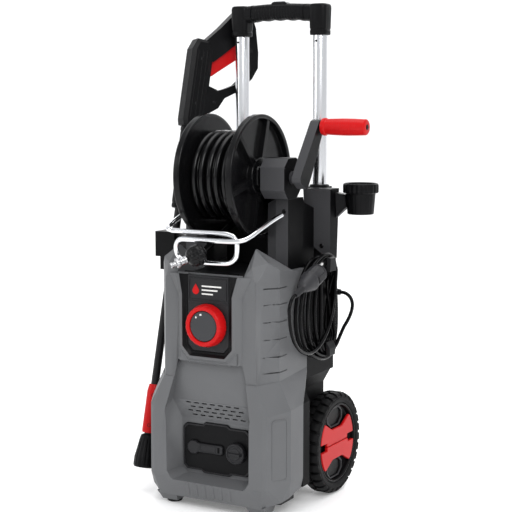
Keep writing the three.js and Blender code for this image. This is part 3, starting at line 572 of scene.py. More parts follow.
# the last run comes down over the front of the hank, under the lower hook and up to the plug
route += [Vector(p) for p in [(151, -8, 400), (153.5, -14, 375), (154.5, -30, 345), (154.2, -52, 318), (154.0, -84, 298), (154.5, -118, 292), (156, -152, 300), (159, -186, 318), (163, -212, 342),
                              (168, -229, 368), (171, -236, 390), (172, -232, 408)]]
route.append(PLUG_A - PD * 8)
route.append(PLUG_A.copy())


def respace(pts, step):
    out, carry = [pts[0].copy()], 0.0
    for a, b in zip(pts, pts[1:]):
        d = (b - a).length
        if d < 1e-9:
            continue
        t = step - carry
        while t <= d:
            out.append(a.lerp(b, t / d))
            t += step
        carry = d - (t - step)
    if (out[-1] - pts[-1]).length < step * 0.4:
        out[-1] = pts[-1].copy()
    else:
        out.append(pts[-1].copy())
    return out


def settle(pts, rounds=110):
    """strands push each other and the hooks away, and keep their curves, as a stiff lead does"""
    import numpy as np
    P = np.array([list(p) for p in pts], float)
    home = P.copy()
    n = len(P)
    fixed = np.zeros(n, bool)
    fixed[:12] = True
    fixed[-5:] = True
    idx = np.arange(n)
    near = np.abs(idx[:, None] - idx[None, :]) <= 5
    boxes = [((151.5, -48, 442), (158, -16, 470)), ((151.5, -48, 278), (158, -16, 306)), ((70, 0, 452.6), (139, 60, 600)), ((86, -8, 466), (139, 0, 600))]
    for r in range(rounds):
        Q = P.copy()
        Q[1:-1] += 0.36 * (0.5 * (P[:-2] + P[2:]) - P[1:-1])
        Q += 0.012 * (home - Q)
        D = Q[:, None, :] - Q[None, :, :]
        dist = np.sqrt((D ** 2).sum(2)) + 1e-6
        push = np.clip(2 * CR + 0.15 - dist, 0, None)
        push[near] = 0
        m = np.minimum(1.0, 1.4 / np.maximum((push > 0).sum(1), 1))
        Q += 0.5 * (D / dist[:, :, None] * push[:, :, None]).sum(1) * m[:, None]
        for lo, hi in boxes:
            lo_, hi_ = np.array(lo) - CR - 0.2, np.array(hi) + CR + 0.2
            inside = ((Q > lo_) & (Q < hi_)).all(1)
            for i in np.where(inside)[0]:
                q = Q[i]
                cand = [(q[1] - lo_[1], 1, lo_[1]), (hi_[1] - q[1], 1, hi_[1]), (q[2] - lo_[2], 2, lo_[2]), (hi_[2] - q[2], 2, hi_[2])]
                if lo[0] > 150 or lo[0] < 100:
                    cand = [(q[0] - lo_[0], 0, lo_[0]) if lo[0] > 150 else (hi_[0] - q[0], 0, hi_[0])] + cand[:1]
                d, axis, v = min(cand)
                Q[i, axis] = v
        # over and under the hooks the lead keeps an easy arc that clears the corners of the bar
        for cz, sg in ((430.0, 1), (318.0, -1)):
            dy, dz = Q[:, 1] + 32.0, Q[:, 2] - cz
            d = np.sqrt(dy * dy + dz * dz) + 1e-6
            hit = (d < 30.4) & (sg * dz > -4) & (Q[:, 0] < 151.4)
            Q[hit, 1] = -32.0 + dy[hit] / d[hit] * 30.4
            Q[hit, 2] = cz + dz[hit] / d[hit] * 30.4
        Q[:, 0] = np.maximum(Q[:, 0], 125.4 + CR + 0.3)
        inner = (idx > 16) & (idx < n - 62)
        Q[inner, 0] = np.minimum(Q[inner, 0], 151.2 - CR)
        Q[fixed] = home[fixed]
        P = Q
    return [Vector(p) for p in P]


cord_mm = respace(smooth_path(route, 6), 7.6)
cord_mm = settle(cord_mm)
cord_mm = smooth_path(cord_mm, 2)
cord_pts = [L(*p) for p in cord_mm]
mains_cord = curve_obj("mains_cord", cord_pts, CR / 1000, "machine", "cord", ("power_cord_hank", "cord_lead"), res=3)

# plug: ribbed strain relief, body with a collar and finger flats, two pins
u_, w_, d_ = frame_of(PD)


def plug_shape(r, h, t):
    if 46 < h < 95:
        c = abs(math.cos(t))
        return r * (1 - 0.10 * c ** 6) * (1 + 0.02 * math.cos(12 * t) * (1 if 58 < h < 90 else 0))
    return r


prof = [(3.7, 0), (5.4, 0.4), (5.6, 1.2)]
for i in range(8):
    h = 2.4 + i * 3.1
    r0 = 5.0 + 0.22 * i
    prof += [(r0 - 0.9, h), (r0 - 0.9, h + 0.9), (r0 + 0.7, h + 1.2), (r0 + 0.75, h + 2.6)]
prof += [(6.6, 27.6), (7.6, 29), (9.4, 31), (11.2, 35), (13.6, 41), (16.2, 49), (17.9, 55), (18.6, 57), (19.0, 58.5), (19.0, 62), (18.2, 62.8), (17.2, 63.4), (17.2, 66),
         (17.6, 67), (17.9, 78), (17.6, 88), (17.0, 92.5), (16.0, 93.0), (16.0, 94.4), (17.2, 94.8), (17.2, 97.2), (16.6, 98), (12, 98), (0, 98)]
plug_bm = lathe_bm([(0, 0)] + prof, PLUG_A, PD, 72, wobble=plug_shape)
for k in range(-3, 4):          # moulded grip bars on both sides
    for sgn in (-1, 1):
        c = PLUG_A + PD * (78 + k * 3.4)
        side = Vector((1, 0, 0)) * sgn
        a = c + side * 15.6
        add_pts = [L(*(a + side * dx + Vector((0, PD.z, -PD.y)) * dy + PD * dz)) for dx in (0, 2.6) for dy in ((-7, 7) if dx == 0 else (-5.5, 5.5)) for dz in (-0.9, 0.9)]
        join_bm(plug_bm, hull_bm(add_pts))
plug = new_obj("mains_plug_body", plug_bm, "machine", "dark", ("mains_plug",), smooth=32)
pin_side = Vector((0, PD.z, -PD.y))
pins_bm = bmesh.new()
for k in (-1, 1):
    lathe_bm([(0, 0), (2.4, 0), (2.4, 17.6), (2.2, 18.6), (1.5, 19.4), (0, 19.6)], PLUG_A + PD * 97.4 + pin_side * (9.5 * k), PD, 20, bm=pins_bm)
pins = new_obj("mains_plug_pins", pins_bm, "machine", "nickel", smooth=30)

# strain relief on the side of the rear housing
gl = [(0, 0.4), (9, 0.4), (9.2, 1.2), (9.2, 4.2), (8.4, 5.2), (7.4, 5.6)]
for i in range(6):
    h = 6.0 + i * 2.9
    r0 = 7.2 - 0.28 * i
    gl += [(r0 - 0.9, h), (r0 - 0.9, h + 0.8), (r0, h + 1.1), (r0 - 0.05, h + 2.3)]
gl += [(5.2, 23.6), (4.2, 24), (0, 24)]
gland = new_obj("cord_strain_relief", lathe_bm(gl, (125, 20, 395), (1, 0, 0), 40), "machine", "black", ("cable_gland",), smooth=30)

# stopper ball on the hose end, with its coupling
STOP = Vector((-2, -268, 488))
SD = Vector((-0.62, -0.62, -0.32)).normalized()


def ball(r, h, t):
    k = 1.0 if abs(h) < 14.5 else 0.0
    return r * (1 + 0.028 * k * (1 if math.cos(9 * t) > 0.15 else -1))


sp = []
for i in range(25):
    a = math.pi * i / 24
    h = -19 * math.cos(a)
    r = 19.9 * math.sin(a) ** 0.72
    for g in (-9.0, 0.0, 9.0):
        r -= 1.2 * math.exp(-((h - g) / 0.9) ** 2) if r > 8 else 0
    sp.append((r if 0 < i < 24 else 0, h))
fine = []
for (r0, h0), (r1, h1) in zip(sp, sp[1:]):
    for k in range(3):
        fine.append((r0 + (r1 - r0) * k / 3, h0 + (h1 - h0) * k / 3))
fine.append(sp[-1])
stopper = new_obj("hose_stopper_ball", lathe_bm(fine, STOP, SD, 108, wobble=ball), "machine", "gloss", ("hose_stopper",), smooth=28)
cp = [(0, 19.4), (7.5, 19.4), (7.5, 23.0), (6.3, 23.6), (6.3, 25.2), (7.6, 25.8), (7.6, 31.4), (6.6, 32.4), (6.6, 33.4), (9.0, 33.8), (9.5, 34.6), (9.5, 38.6), (9.0, 39.4),
      (5.8, 39.8), (5.0, 41), (5.0, 43.2), (4.2, 43.8), (4.2, 45.6), (5.2, 46.2), (5.5, 47), (5.5, 49.2), (5.0, 50), (2.6, 50), (2.4, 44), (0, 44)]
coupling = new_obj("hose_coupling_fitting", lathe_bm(cp, STOP, SD, 48, wobble=lambda r, h, t: r * (1 + (0.02 * math.cos(24 * t) if 33.6 < h < 39.6 else 0))), "machine", "fitting",
                   ("hose_coupling",), smooth=30)

# ------------------------------------------------------------------ wire hose guide
WIRE = [[104, -140, 556], [100, -167, 548], [96, -205, 535], [92, -238, 523], [84, -253, 518], [68, -258, 516], [30, -259, 515.5], [-22, -259, 515.5],
        [-41, -258.5, 514.5], [-51, -255, 508], [-56, -251, 497], [-54, -247, 483], [-42, -244, 475], [-22, -243, 473], [38, -243, 473], [56, -243, 476],
        [67, -244, 486], [70, -245.5, 499], [70, -246.5, 513], [65, -247, 522], [54, -247.5, 527], [28, -248, 528.5], [-56, -249, 529], [-68, -249, 530],
        [-79, -243, 532], [-88, -222, 536], [-94, -198, 541], [-99, -167, 548], [-103, -140, 556]]
wire = tube_mesh("hose_guide_rod", smooth_path([L(*p) for p in WIRE], 8), 0.0046, "machine", "chrome", ("hose_guide_wire",), sides=24)


# ------------------------------------------------------------------ small parts shared by several places
def screw(name, at, direction, r=4.2, depth=1.6, body="machine", recess=True):
    """pan head screw with a cross recess"""
    bm = lathe_bm(rounded([(0, 0), (r, 0), (r, depth * 0.55), (r * 0.72, depth), (r * 0.34, depth), (r * 0.3, depth * 0.35), (0, depth * 0.3)], 0.3), at, direction, 28)
    u, w, d = frame_of(direction)
    base = Vector(at)
    for k in range(2):
        a, b = (u, w) if k == 0 else (w, u)
        for s in (-1, 1):
            c0 = base + Vector(a) * (s * r * 0.34)
            c1 = base + Vector(a) * (s * r * 0.62)
            pts = [L(*(c + Vector(b) * (q * r * 0.07) + d * h)) for c in (c0, c1) for q in (-1, 1) for h in (depth * 0.9, depth * 1.05)]
            join_bm(bm, hull_bm(pts))
    return new_obj(name, bm, body, "screw", smooth=30)


# ------------------------------------------------------------------ covers and housings


def cover_sharp(a, b):
    """slot edges in the ramp and the thin grooves round the front corners keep their moulded sharpness"""
    if all(abs(v[0]) < 76 and 171.5 < v[2] < 204.5 and v[1] > -222.5 and v[1] < -190 for v in (a, b)):
        return not (abs(abs(a[0]) - 78) < 2 and abs(abs(b[0]) - 78) < 2)
    for z in (427, 397, 365, 333, 300, 271):
        if all(abs(v[2] - z) < 1.35 and abs(v[0]) > 104 for v in (a, b)):
            return True
    return math.dist(a, b) < 1.2


from_cad("front_cover", "cover", 0.0022, 3, 12, keep=cover_sharp)
from_cad("rear_housing", "black_and_painted_shade", 0.0018, 2, 20)
from_cad("base_tray", "black", 0.0014, 2, 20)
for s, side in ((1, "right"), (-1, "left")):
    new_obj("rubber_foot_" + side, lathe_bm(rounded([(0, 0), (13, 0), (15, 2), (15, 5.6), (0, 5.6)], 1.2), (s * 96, -200, 0), (0, 0, 1), 48), "machine", "rubber", ("foot_" + side,), smooth=30)
from_cad("trough_panel", "black", 0.0012, 2, 20)
from_cad("control_panel", "panel", 0.0016, 3, 20)
from_cad("lower_panel", "black", 0.0012, 2, 20)
for s, side in ((1, "right"), (-1, "left")):
    # painted light and shade: forward faces get the lighter charcoal, all other faces the near-black
    from_cad("tower_" + side, "painted_lit_front", 0.0022, 3, 16, sides="black_and_painted_shade")
    from_cad("reel_bracket_" + side, "painted_lit_front", 0.0018, 3, 16, sides="black_and_painted_shade")
    from_cad("bearing_head_" + side, "painted_lit_front", 0.0022, 3, 16, sides="black_and_painted_shade")
    screw("bracket_screw_" + side, (s * 104, -129.4, 562), (0, -1, 0), 4.4, 1.7)
    screw("tower_screw_" + side, (s * 121, -7.9, 487), (0, -1, 0), 4.4, 1.7)
    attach(bpy.data.objects["bracket_screw_" + side], "machine")
from_cad("lance_clip", "black", 0.0014, 2, 20)
from_cad("cord_hook_upper", "black", 0.0016, 3, 20)
from_cad("cord_hook_lower", "black", 0.0016, 3, 20)

# inside
from_cad("motor", "cast", 0.0015, 2, 30)
from_cad("motor_fan", "black", 0.0008, 2, 30)
from_cad("pump_head", "cast", 0.0020, 2, 30)
from_cad("detergent_tank", "white", 0.0040, 3, 20)
from_cad("switch_box", "black", 0.0015, 2, 20)
for node, x, prof_ in (("water_inlet", -40, [(0, -60), (8, -60), (8, 8.6), (16, 8.6), (16, 16), (13.5, 17), (13.2, 18), (13.5, 19), (13.2, 20), (13.5, 21), (13.2, 22), (13.5, 23), (13.2, 24),
                                             (13.5, 25), (13.2, 26), (13.5, 27), (12.6, 30), (8.2, 30), (7.8, 18), (0, 18)]),
                       ("high_pressure_outlet", 40, [(0, -60), (8, -60), (8, 8.6), (15, 8.6), (15, 18), (10, 19), (9.7, 20), (10, 21), (9.7, 22), (10, 23), (9.7, 24), (10, 25), (9.4, 28),
                                                     (5.5, 28), (5.2, 19), (0, 19)])):
    new_obj(node + "_fitting", lathe_bm(prof_, (x, 58, 290), (0, 1, 0), 48, wobble=lambda r, h, t: r * (1 - (0.03 if 8.7 < h < 16.5 and abs(math.cos(3 * t)) < 0.3 else 0))), "machine", "brass",
            (node,), smooth=30)

# ------------------------------------------------------------------ wheels
for s, side in ((1, "right"), (-1, "left")):
    c, d = (s * 118, 0, 100), (s, 0, 0)
    body = "wheel_" + side
    ty = lathe_bm(rounded([(78.3, 3), (78.3, 37), (83, 38.6), (88, 39.2), (92.5, 37.6), (94.2, 34), (94.6, 20), (94.2, 6), (92.5, 2.4), (88, 0.8), (83, 1.4)], 1.2, 3, closed=True), c, d, 120, closed=True)
    N = 30
    for row in range(2):
        for i in range(N):
            a0 = 2 * math.pi * (i + 0.5 * row) / N
            sgn = 1 if row else -1
            groups = []
            pts = []
            for h, r, da in ((20 + sgn * 1.6, 99.6, 0.062), (20 + sgn * 10, 100.0, 0.070), (20 + sgn * 16.5, 97.6, 0.074), (20 + sgn * 19.8, 93.6, 0.070), (20 + sgn * 19.4, 90.4, 0.052),
                             (20 + sgn * 1.6, 93.5, 0.070), (20 + sgn * 16, 92.0, 0.084), (20 + sgn * 17.0, 89.6, 0.066)):
                for q in (-1, 1):
                    t = a0 + q * da + sgn * 0.010 * abs(h - 20) / 10
                    pts.append(L(c[0] + s * h, r * math.cos(t), 100 + r * math.sin(t)))
            join_bm(ty, hull_bm(pts))
    new_obj("tread_tyre_" + side, ty, body, "tyre", ("tyre_" + side,), bevel=0.0007, seg=2, ang=30)
    # rim with a deep dish and webs
    rp = rounded([(6.3, -3), (18, -3), (20, 8), (40, 9.5), (70, 7), (77.4, 5), (77.4, 37), (74.6, 37), (73.2, 34.5), (72.6, 27.5), (70, 26.2), (46, 25.6), (20, 26.4), (20, 30), (6.3, 30)], 1.1, 3, closed=True)
    rb = lathe_bm(rp, c, d, 96, closed=True)
    new_obj("wheel_rim_" + side, rb, body, "black", ("rim_" + side,), smooth=34)
    # cap: two blades across the hub with a raised lower half, eight-sided pockets above and below
    R = 71.0
    P = lambda deg, r=R: (r * math.cos(math.radians(deg)), r * math.sin(math.radians(deg)))
    up = [(R * 0.99, 7.5), P(13), P(22), P(30), P(37), (51.5, 46.0), (22, 30), (-22, 30), (-51.5, 46.0), P(143), P(150), P(158), P(167), (-R * 0.99, 7.5), (-45, 7.5), (-45, 0.4), (45, 0.4), (45, 7.5)]
    lo = [(u, -v) for u, v in up]
    w0, w1 = (148.5, 154.2) if s > 0 else (-154.2, -148.5)
    v0, v1 = (148.5, 155.4) if s > 0 else (-155.4, -148.5)
    pb = prism_bm([(u, v + 100) for u, v in up], "yz", w0, w1)
    new_obj("wheel_cap_upper_" + side, pb, body, "red", ("wheel_cap_" + side,), bevel=0.0016, seg=3)
    pb = prism_bm([(u, v + 100) for u, v in lo], "yz", v0, v1)
    new_obj("wheel_cap_lower_" + side, pb, body, "red", (), bevel=0.0016, seg=3)
    # pockets: cup-like walls of the rim face above and below the cap
    pk = bmesh.new()
    for sg in (1, -1):
        octo = [(33, -7), (33, 7), (19, 20), (-19, 20), (-33, 7), (-33, -7), (-17, -19), (17, -19)]
        x_in, x_out = s * (118 + 27.2), s * (118 + 30.0)
        outer_, inner_ = [], []
        for u, v in octo:
            outer_.append((u, v * sg + sg * 50.5))
            inner_.append((u * 0.90, v * 0.84 * sg + sg * 50.5))
        A = [pk.verts.new(L(x_in, u, v + 100)) for u, v in outer_]
        B = [pk.verts.new(L(x_out, u, v + 100)) for u, v in outer_]
        C = [pk.verts.new(L(x_out, u, v + 100)) for u, v in inner_]
        Dd = [pk.verts.new(L(x_in, u, v + 100)) for u, v in inner_]
        for i in range(8):
            j = (i + 1) % 8
            pk.faces.new((A[i], A[j], B[j], B[i]))
            pk.faces.new((B[i], B[j], C[j], C[i]))
            pk.faces.new((C[i], C[j], Dd[j], Dd[i]))
            pk.faces.new((Dd[i], Dd[j], A[j], A[i]))
    new_obj("wheel_pocket_rings_" + side, pk, body, "dark", (), bevel=0.0008, seg=2)
from_cad("axle", "steel", 0.0008, 2, 40)

# ------------------------------------------------------------------ reel
RC = (0, RY, RZ)
for s, side, R in ((1, "right", 60), (-1, "left", 63)):
    fp = rounded([(12.4, R - 13.5), (110, R - 13.5), (114.4, R - 12.6), (116, R - 11), (116, R - 2.0), (115, R), (108.6, R), (107.2, R - 1.4), (106.4, R - 11.6), (60, R - 12.2), (37, R - 11.8),
                  (35.4, R - 2.2), (34, R - 1), (20, R - 0.6), (19, R - 2), (12.4, R - 2)], 1.0, 3, closed=True)
    fb = lathe_bm(fp, RC, (s, 0, 0), 128, closed=True)
    for i in range(6):
        t = i / 6 * 2 * math.pi + 0.26
        cc, nn = math.cos(t), math.sin(t)
        at = lambda r, w, x: L(s * x, RY + r * cc - w * nn, RZ + r * nn + w * cc)
        pts = [at(r, w * k, x) for r, k in ((33, 1.25), (107, 0.85)) for w, x in ((-6.2, R - 12.4), (6.2, R - 12.4), (-5.2, R - 1.6), (5.2, R - 1.6))]
        join_bm(fb, hull_bm(pts))
    # eight-sided hub wall that the ribs run into
    hub = [(36 * math.cos(math.radians(22.5 + 45 * q)), 36 * math.sin(math.radians(22.5 + 45 * q))) for q in range(8)]
    join_bm(fb, hull_bm([L(s * x, RY + u * k, RZ + v * k) for x, k in ((R - 12.4, 1.04), (R - 0.9, 0.94)) for u, v in hub]))
    new_obj("reel_side_" + side, fb, "reel", "gloss", ("reel_flange_" + side,), bevel=0.0006, seg=2, ang=34)
    # square hub boss
    hb = hull_bm([L(s * x, RY + u, RZ + v) for x, k in ((R - 2.2, 1.0), (R + 2.6, 0.9)) for u, v in ((-15 * k, -20 * k), (15 * k, -20 * k), (20 * k, -15 * k), (20 * k, 15 * k),
                                                                                                    (15 * k, 20 * k), (-15 * k, 20 * k), (-20 * k, 15 * k), (-20 * k, -15 * k))])
    new_obj("reel_hub_" + side, hb, "reel", "gloss", (), bevel=0.0012, seg=2)
new_obj("reel_core", lathe_bm(rounded([(12.4, -49.2), (52, -49.2), (52, 46), (12.4, 46)], 0.8, 3, closed=True), RC, (1, 0, 0), 72, closed=True), "reel", "black", ("reel_drum",), smooth=34)
new_obj("reel_axle", lathe_bm(rounded([(0, -111), (12, -111), (12, 128), (7, 128), (7, 131), (0, 131)], 0.9, 3), RC, (1, 0, 0), 64), "reel", "dark", ("reel_shaft",), smooth=34)
# painted light and shade: forward faces of the crank arm get the lighter charcoal, the other faces black
from_cad("crank_arm", "painted_lit_front", 0.0022, 3, 18, sides="black")


def grip_section(r, h, t):
    """four flats and fine ribs round the crank grip"""
    k = abs(math.cos(2 * t + 0.4))
    flat = 1 - 0.055 * (1 - k) ** 2
    rib = 1 - 0.018 * (1 if (24 < h < 78 and math.sin(h * 1.35) > 0.2) else 0)
    return r * flat * rib if 3 < h < 88 else r


gp_ = [(5.4, 0), (13.2, 0), (15.0, 0.8), (16.2, 2.0), (16.5, 3.4), (16.5, 8), (15.0, 9.2), (14.6, 11), (14.8, 13)] + [(14.9 + 1.2 * math.sin(math.pi * (h - 14) / 74), h) for h in
      [14 + 0.9 * k for k in range(83)]] + [(14.6, 89), (13.0, 90.4), (10.8, 91), (5.4, 91)]
new_obj("crank_handle", lathe_bm(gp_, (155, -75, 718), (1, 0, 0), 64, closed=True, wobble=grip_section), "crank_grip", "red", ("crank_grip",), smooth=26)
screw("crank_pin_screw", (246, -75, 718), (1, 0, 0), 4.6, 0.0 + 1.2, body="reel")

# ------------------------------------------------------------------ knob and panel details
KC = (0, -232.4, 355)


def knob_rim(r, h, t):
    if r > 33 and h > 1:
        return r - 0.55 * (1 if math.cos(20 * t) > 0.35 else 0) * min(1, (h - 1) / 4)
    return r


kp = rounded([(40, 0), (40.2, 3), (39.7, 8), (38.5, 14), (37.2, 18.2), (35.6, 19.8), (31.8, 19.8), (29.4, 18.2), (29, 16.4), (29, 0)], 1.0, 4, closed=True)
new_obj("knob_ring", lathe_bm(kp, KC, (0, -1, 0), 160, closed=True, wobble=knob_rim), "power_knob", "red", ("power_knob",), smooth=34)
dp = rounded([(0, 0), (28.6, 0), (28.6, 15.2), (27.4, 17.1), (24, 17.5), (0, 17.5)], 0.8, 4)
new_obj("knob_face", lathe_bm(dp, KC, (0, -1, 0), 96), "power_knob", "dial", ("knob_dial",), smooth=34)
marks = bmesh.new()
for a0, w in ((133, 3.0), (103, 4.4)):
    a = math.radians(a0)
    for k in range(1):
        pts = []
        for dr in (20.4, 23.8):
            for dw in (-w / 2, w / 2):
                for y in (-17.5, -17.85):
                    x = dr * math.cos(a) - dw * math.sin(a)
                    z = dr * math.sin(a) + dw * math.cos(a)
                    pts.append(L(KC[0] + x, KC[1] + y, KC[2] + z))
        join_bm(marks, hull_bm(pts))
new_obj("knob_marks", marks, "power_knob", "mark", smooth=0)
# raised frame of the label field, and a plain drop sign with bars in it
PY = -232.0


def frame_bm(x0, x1, z0, z1, t, y0, y1, ch=0.0):
    bm = bmesh.new()
    o = [(x0 + ch, z0), (x1 - ch, z0), (x1, z0 + ch), (x1, z1), (x0, z1), (x0, z0 + ch)] if ch else [(x0, z0), (x1, z0), (x1, z1), (x0, z1)]
    cx, cz = (x0 + x1) / 2, (z0 + z1) / 2
    inn = [(cx + (x - cx) * (1 - 2 * t / (x1 - x0)), cz + (z - cz) * (1 - 2 * t / (z1 - z0))) for x, z in o]
    A = [bm.verts.new(L(x, y0, z)) for x, z in o]
    B = [bm.verts.new(L(x, y1, z)) for x, z in o]
    C = [bm.verts.new(L(x, y1, z)) for x, z in inn]
    Dv = [bm.verts.new(L(x, y0, z)) for x, z in inn]
    n = len(o)
    for i in range(n):
        j = (i + 1) % n
        bm.faces.new((A[i], A[j], B[j], B[i]))
        bm.faces.new((B[i], B[j], C[j], C[i]))
        bm.faces.new((C[i], C[j], Dv[j], Dv[i]))
        bm.faces.new((Dv[i], Dv[j], A[j], A[i]))
    return bm


new_obj("label_frame", frame_bm(-40.5, 40.5, 401, 442, 1.6, PY + 0.4, PY - 1.3), "machine", "panel", bevel=0.0004, seg=2)
drop = [(0, 11)] + [(7.0 * math.cos(math.radians(a)), 7.0 * math.sin(math.radians(a)) - 2) for a in range(35, -216, -10)]
drop = [(x - 26, z + 420) for x, z in drop]
new_obj("drop_sign", prism_bm(drop, "xz", PY - 0.75, PY + 0.3), "machine", "red", bevel=0.0003, seg=2)
bars = bmesh.new()
for k, wdt in enumerate((42, 34, 24)):
    z = 427 - k * 7.2
    join_bm(bars, hull_bm([L(x, y, zz) for x in (-13, -13 + wdt) for y in (PY + 0.3, PY - 0.6) for zz in (z - 1.35, z + 1.35)]))
new_obj("label_bars", bars, "machine", "mark", bevel=0.0002, seg=1)


def u_rail(rows):
    """closed rail round both sides and the chamfered lower end of the panel: rows of (offset from the panel,
    depth y, widening at the top, depth y at the top), and the top ends run out into the shoulders"""
    bm = bmesh.new()
    loops = []
    for o, y, fl, yt in rows:
        half = [(44 + o + fl, yt, 447.5), (44 + o, y, 410), (44 + o, y, 317.3 - 0.45 * o), (33.6 + 0.41 * o, y, 305 - o)]
        path_ = [(-x, y_, z) for x, y_, z in half] + list(reversed(half))
        loops.append([bm.verts.new(L(*q)) for q in path_])
    n = len(rows)
    for k in range(n):
        a, b = loops[k], loops[(k + 1) % n]
        for i in range(7):
            bm.faces.new((a[i], a[i + 1], b[i + 1], b[i]))
    bm.faces.new([l[0] for l in loops])
    bm.faces.new([l[7] for l in reversed(loops)])
    return bm


new_obj("panel_channel", u_rail([(0.3, -231.6, 0, -231.6), (4.4, -231.9, 7, -231.9), (9.8, -236.8, 9, -232.4), (9.8, -229.5, 9, -229.5), (0.3, -229.5, 0, -229.5)]), "machine", "black", bevel=0.0003, seg=1)
new_obj("panel_bezel", u_rail([(9.4, -229.5, 9, -226.5), (9.4, -237.2, 9, -232.6), (14.0, -237.2, 13, -232.0), (25.5, -225.4, 20, -225.2), (25.5, -223.5, 20, -223.5)]), "machine", "cover", bevel=0.0010, seg=3)
for k in range(6):          # upright ribs of the bottom bar
    x = -50 + 18 * k
    fy = lambda z: -229 - 9 * (z - 20) / 38
    new_obj("bottom_bar_rib_%d" % k, hull_bm([L(xx, fy(z) + 0.8, z) for xx in (x, x + 9) for z in (25, 51)] + [L(xx, fy(z) - 1.5, z) for xx in (x + 1.4, x + 7.6) for z in (27, 49)]), "machine", "cover",
            bevel=0.0006, seg=2)
# tall rounded frames on the chamfered lower corners of the cover
for s_, side in ((1, "right"), (-1, "left")):
    A2, dirv, nrm = Vector((126.0, -235.4, 0)), Vector((25, 46.4, 0)).normalized(), Vector((0.8803, -0.4744, 0))
    fr = bmesh.new()
    rows2 = []
    for inset, lift in ((0, -0.6), (0, 0.9), (1.9, 0.9), (1.9, -0.6)):
        loop = []
        x0_, x1_, z0_, z1_, rc_ = 11 + inset, 45 - inset, 74 + inset, 189 - inset, 6 - inset
        for cx, cz, a0 in ((x1_ - rc_, z1_ - rc_, 0), (x0_ + rc_, z1_ - rc_, 90), (x0_ + rc_, z0_ + rc_, 180), (x1_ - rc_, z0_ + rc_, 270)):
            for q in range(5):
                a_ = math.radians(a0 + 22.5 * q)
                pt_ = A2 + dirv * (cx + rc_ * math.cos(a_)) + nrm * lift
                loop.append(fr.verts.new(L(s_ * pt_.x, pt_.y, cz + rc_ * math.sin(a_))))
        rows2.append(loop)
    for k in range(4):
        a, b = rows2[k], rows2[(k + 1) % 4]
        for i in range(20):
            fr.faces.new((a[i], a[(i + 1) % 20], b[(i + 1) % 20], b[i]))
    new_obj("corner_frame_" + side, fr, "machine", "cover", bevel=0.0004, seg=2)
step = hull_bm(boxpts(-41, 41, PY + 0.4, PY - 0.9, 395.2, 398.6))
new_obj("panel_step", step, "machine", "panel", bevel=0.0005, seg=2)
# lower panel: raised border, key-shaped flap, filler cap
border = [[-74, 76], [-74, 150], [-66, 158], [-30, 158], [-24, 163], [24, 163], [30, 158], [66, 158], [74, 150], [74, 76], [66, 68], [34, 68], [28, 63.5], [-28, 63.5], [-34, 68], [-66, 68]]
bb = bmesh.new()
o_ = [(x * 0.985, 113 + (z - 113) * 0.975) for x, z in border]
i_ = [(x * 0.945, 113 + (z - 113) * 0.915) for x, z in border]
A = [bb.verts.new(L(x, -203.4, z)) for x, z in o_]
B = [bb.verts.new(L(x, -205.0, z)) for x, z in o_]
C = [bb.verts.new(L(x, -205.0, z)) for x, z in i_]
D4 = [bb.verts.new(L(x, -203.4, z)) for x, z in i_]
for i in range(len(o_)):
    j = (i + 1) % len(o_)
    for quad in ((A[i], A[j], B[j], B[i]), (B[i], B[j], C[j], C[i]), (C[i], C[j], D4[j], D4[i]), (D4[i], D4[j], A[j], A[i])):
        bb.faces.new(quad)
new_obj("lower_panel_border", bb, "machine", "panel", bevel=0.0005, seg=2)
head = [(-48 + 14.4 * math.cos(math.radians(22.5 + 45 * k)), 113 + 13.6 * math.sin(math.radians(22.5 + 45 * k))) for k in range(8)]
body_ = [(-40, 104.2), (12.4, 104.2), (15.6, 107), (15.6, 119), (12.4, 121.8), (-40, 121.8)]
fb = hull_bm([L(x, y, z) for x, z in head for y in (-204.1, -208.6)] + [L(-48 + (x + 48) * 0.9, -209.6, 113 + (z - 113) * 0.9) for x, z in head],
             [L(x, y, z) for x, z in body_ for y in (-204.1, -207.6)] + [L(-12 + (x + 12) * 0.965, -208.6, 113 + (z - 113) * 0.88) for x, z in body_])
join_bm(fb, frame_bm(-33, 1.5, 106.4, 119.6, 1.2, -208.4, -209.3))
new_obj("service_flap_cover", fb, "service_flap", "panel", ("service_flap",), bevel=0.0007, seg=2)
# painted shade: a thin dark patch on the flap stands for the shade inside its notch
new_obj("service_flap_notch_painted_shade", hull_bm(boxpts(5.2, 9.6, -208.3, -209.0, 107.6, 118.4)), "service_flap", "black_and_painted_shade", bevel=0.0003, seg=1)
# painted shade: a dark sheet behind the flap, a little larger than it, stands for the shade in the gap round the flap
rc = hull_bm([L(-48 + (x + 48) * 1.13, y, 113 + (z - 113) * 1.13) for x, z in head for y in (-203.3, -203.95)],
             [L(x, y, z) for x, z in [(-40, 102.4), (13.4, 102.4), (17.6, 106), (17.6, 120), (13.4, 123.6), (-40, 123.6)] for y in (-203.3, -203.9)])
new_obj("service_flap_recess_painted_shade", rc, "machine", "black_and_painted_shade", bevel=0.0002, seg=1)


def cap_knurl(r, h, t):
    return r - (0.7 if (5.5 < h < 12.6 and math.cos(18 * t) > 0.25) else 0)


cb = lathe_bm(rounded([(0, 0), (14.6, 0), (14.6, 4.3), (20, 4.8), (20, 12.6), (18.6, 14.2), (16.2, 15), (15.2, 13.4), (11.6, 13.2), (10.8, 14.8), (0, 15)], 0.6, 3), (46, -200.3, 112), (0, -1, 0), 120, wobble=cap_knurl)
join_bm(cb, hull_bm([L(*p) for p in [(32.6, -213.4, 109), (59.4, -213.4, 109), (32.6, -213.4, 115), (59.4, -213.4, 115), (34, -218.6, 110.2), (58, -218.6, 110.2), (34, -218.6, 113.8), (58, -218.6, 113.8)]]))
new_obj("filler_cap", cb, "detergent_cap", "panel", ("detergent_cap",), bevel=0.0005, seg=2, ang=32)

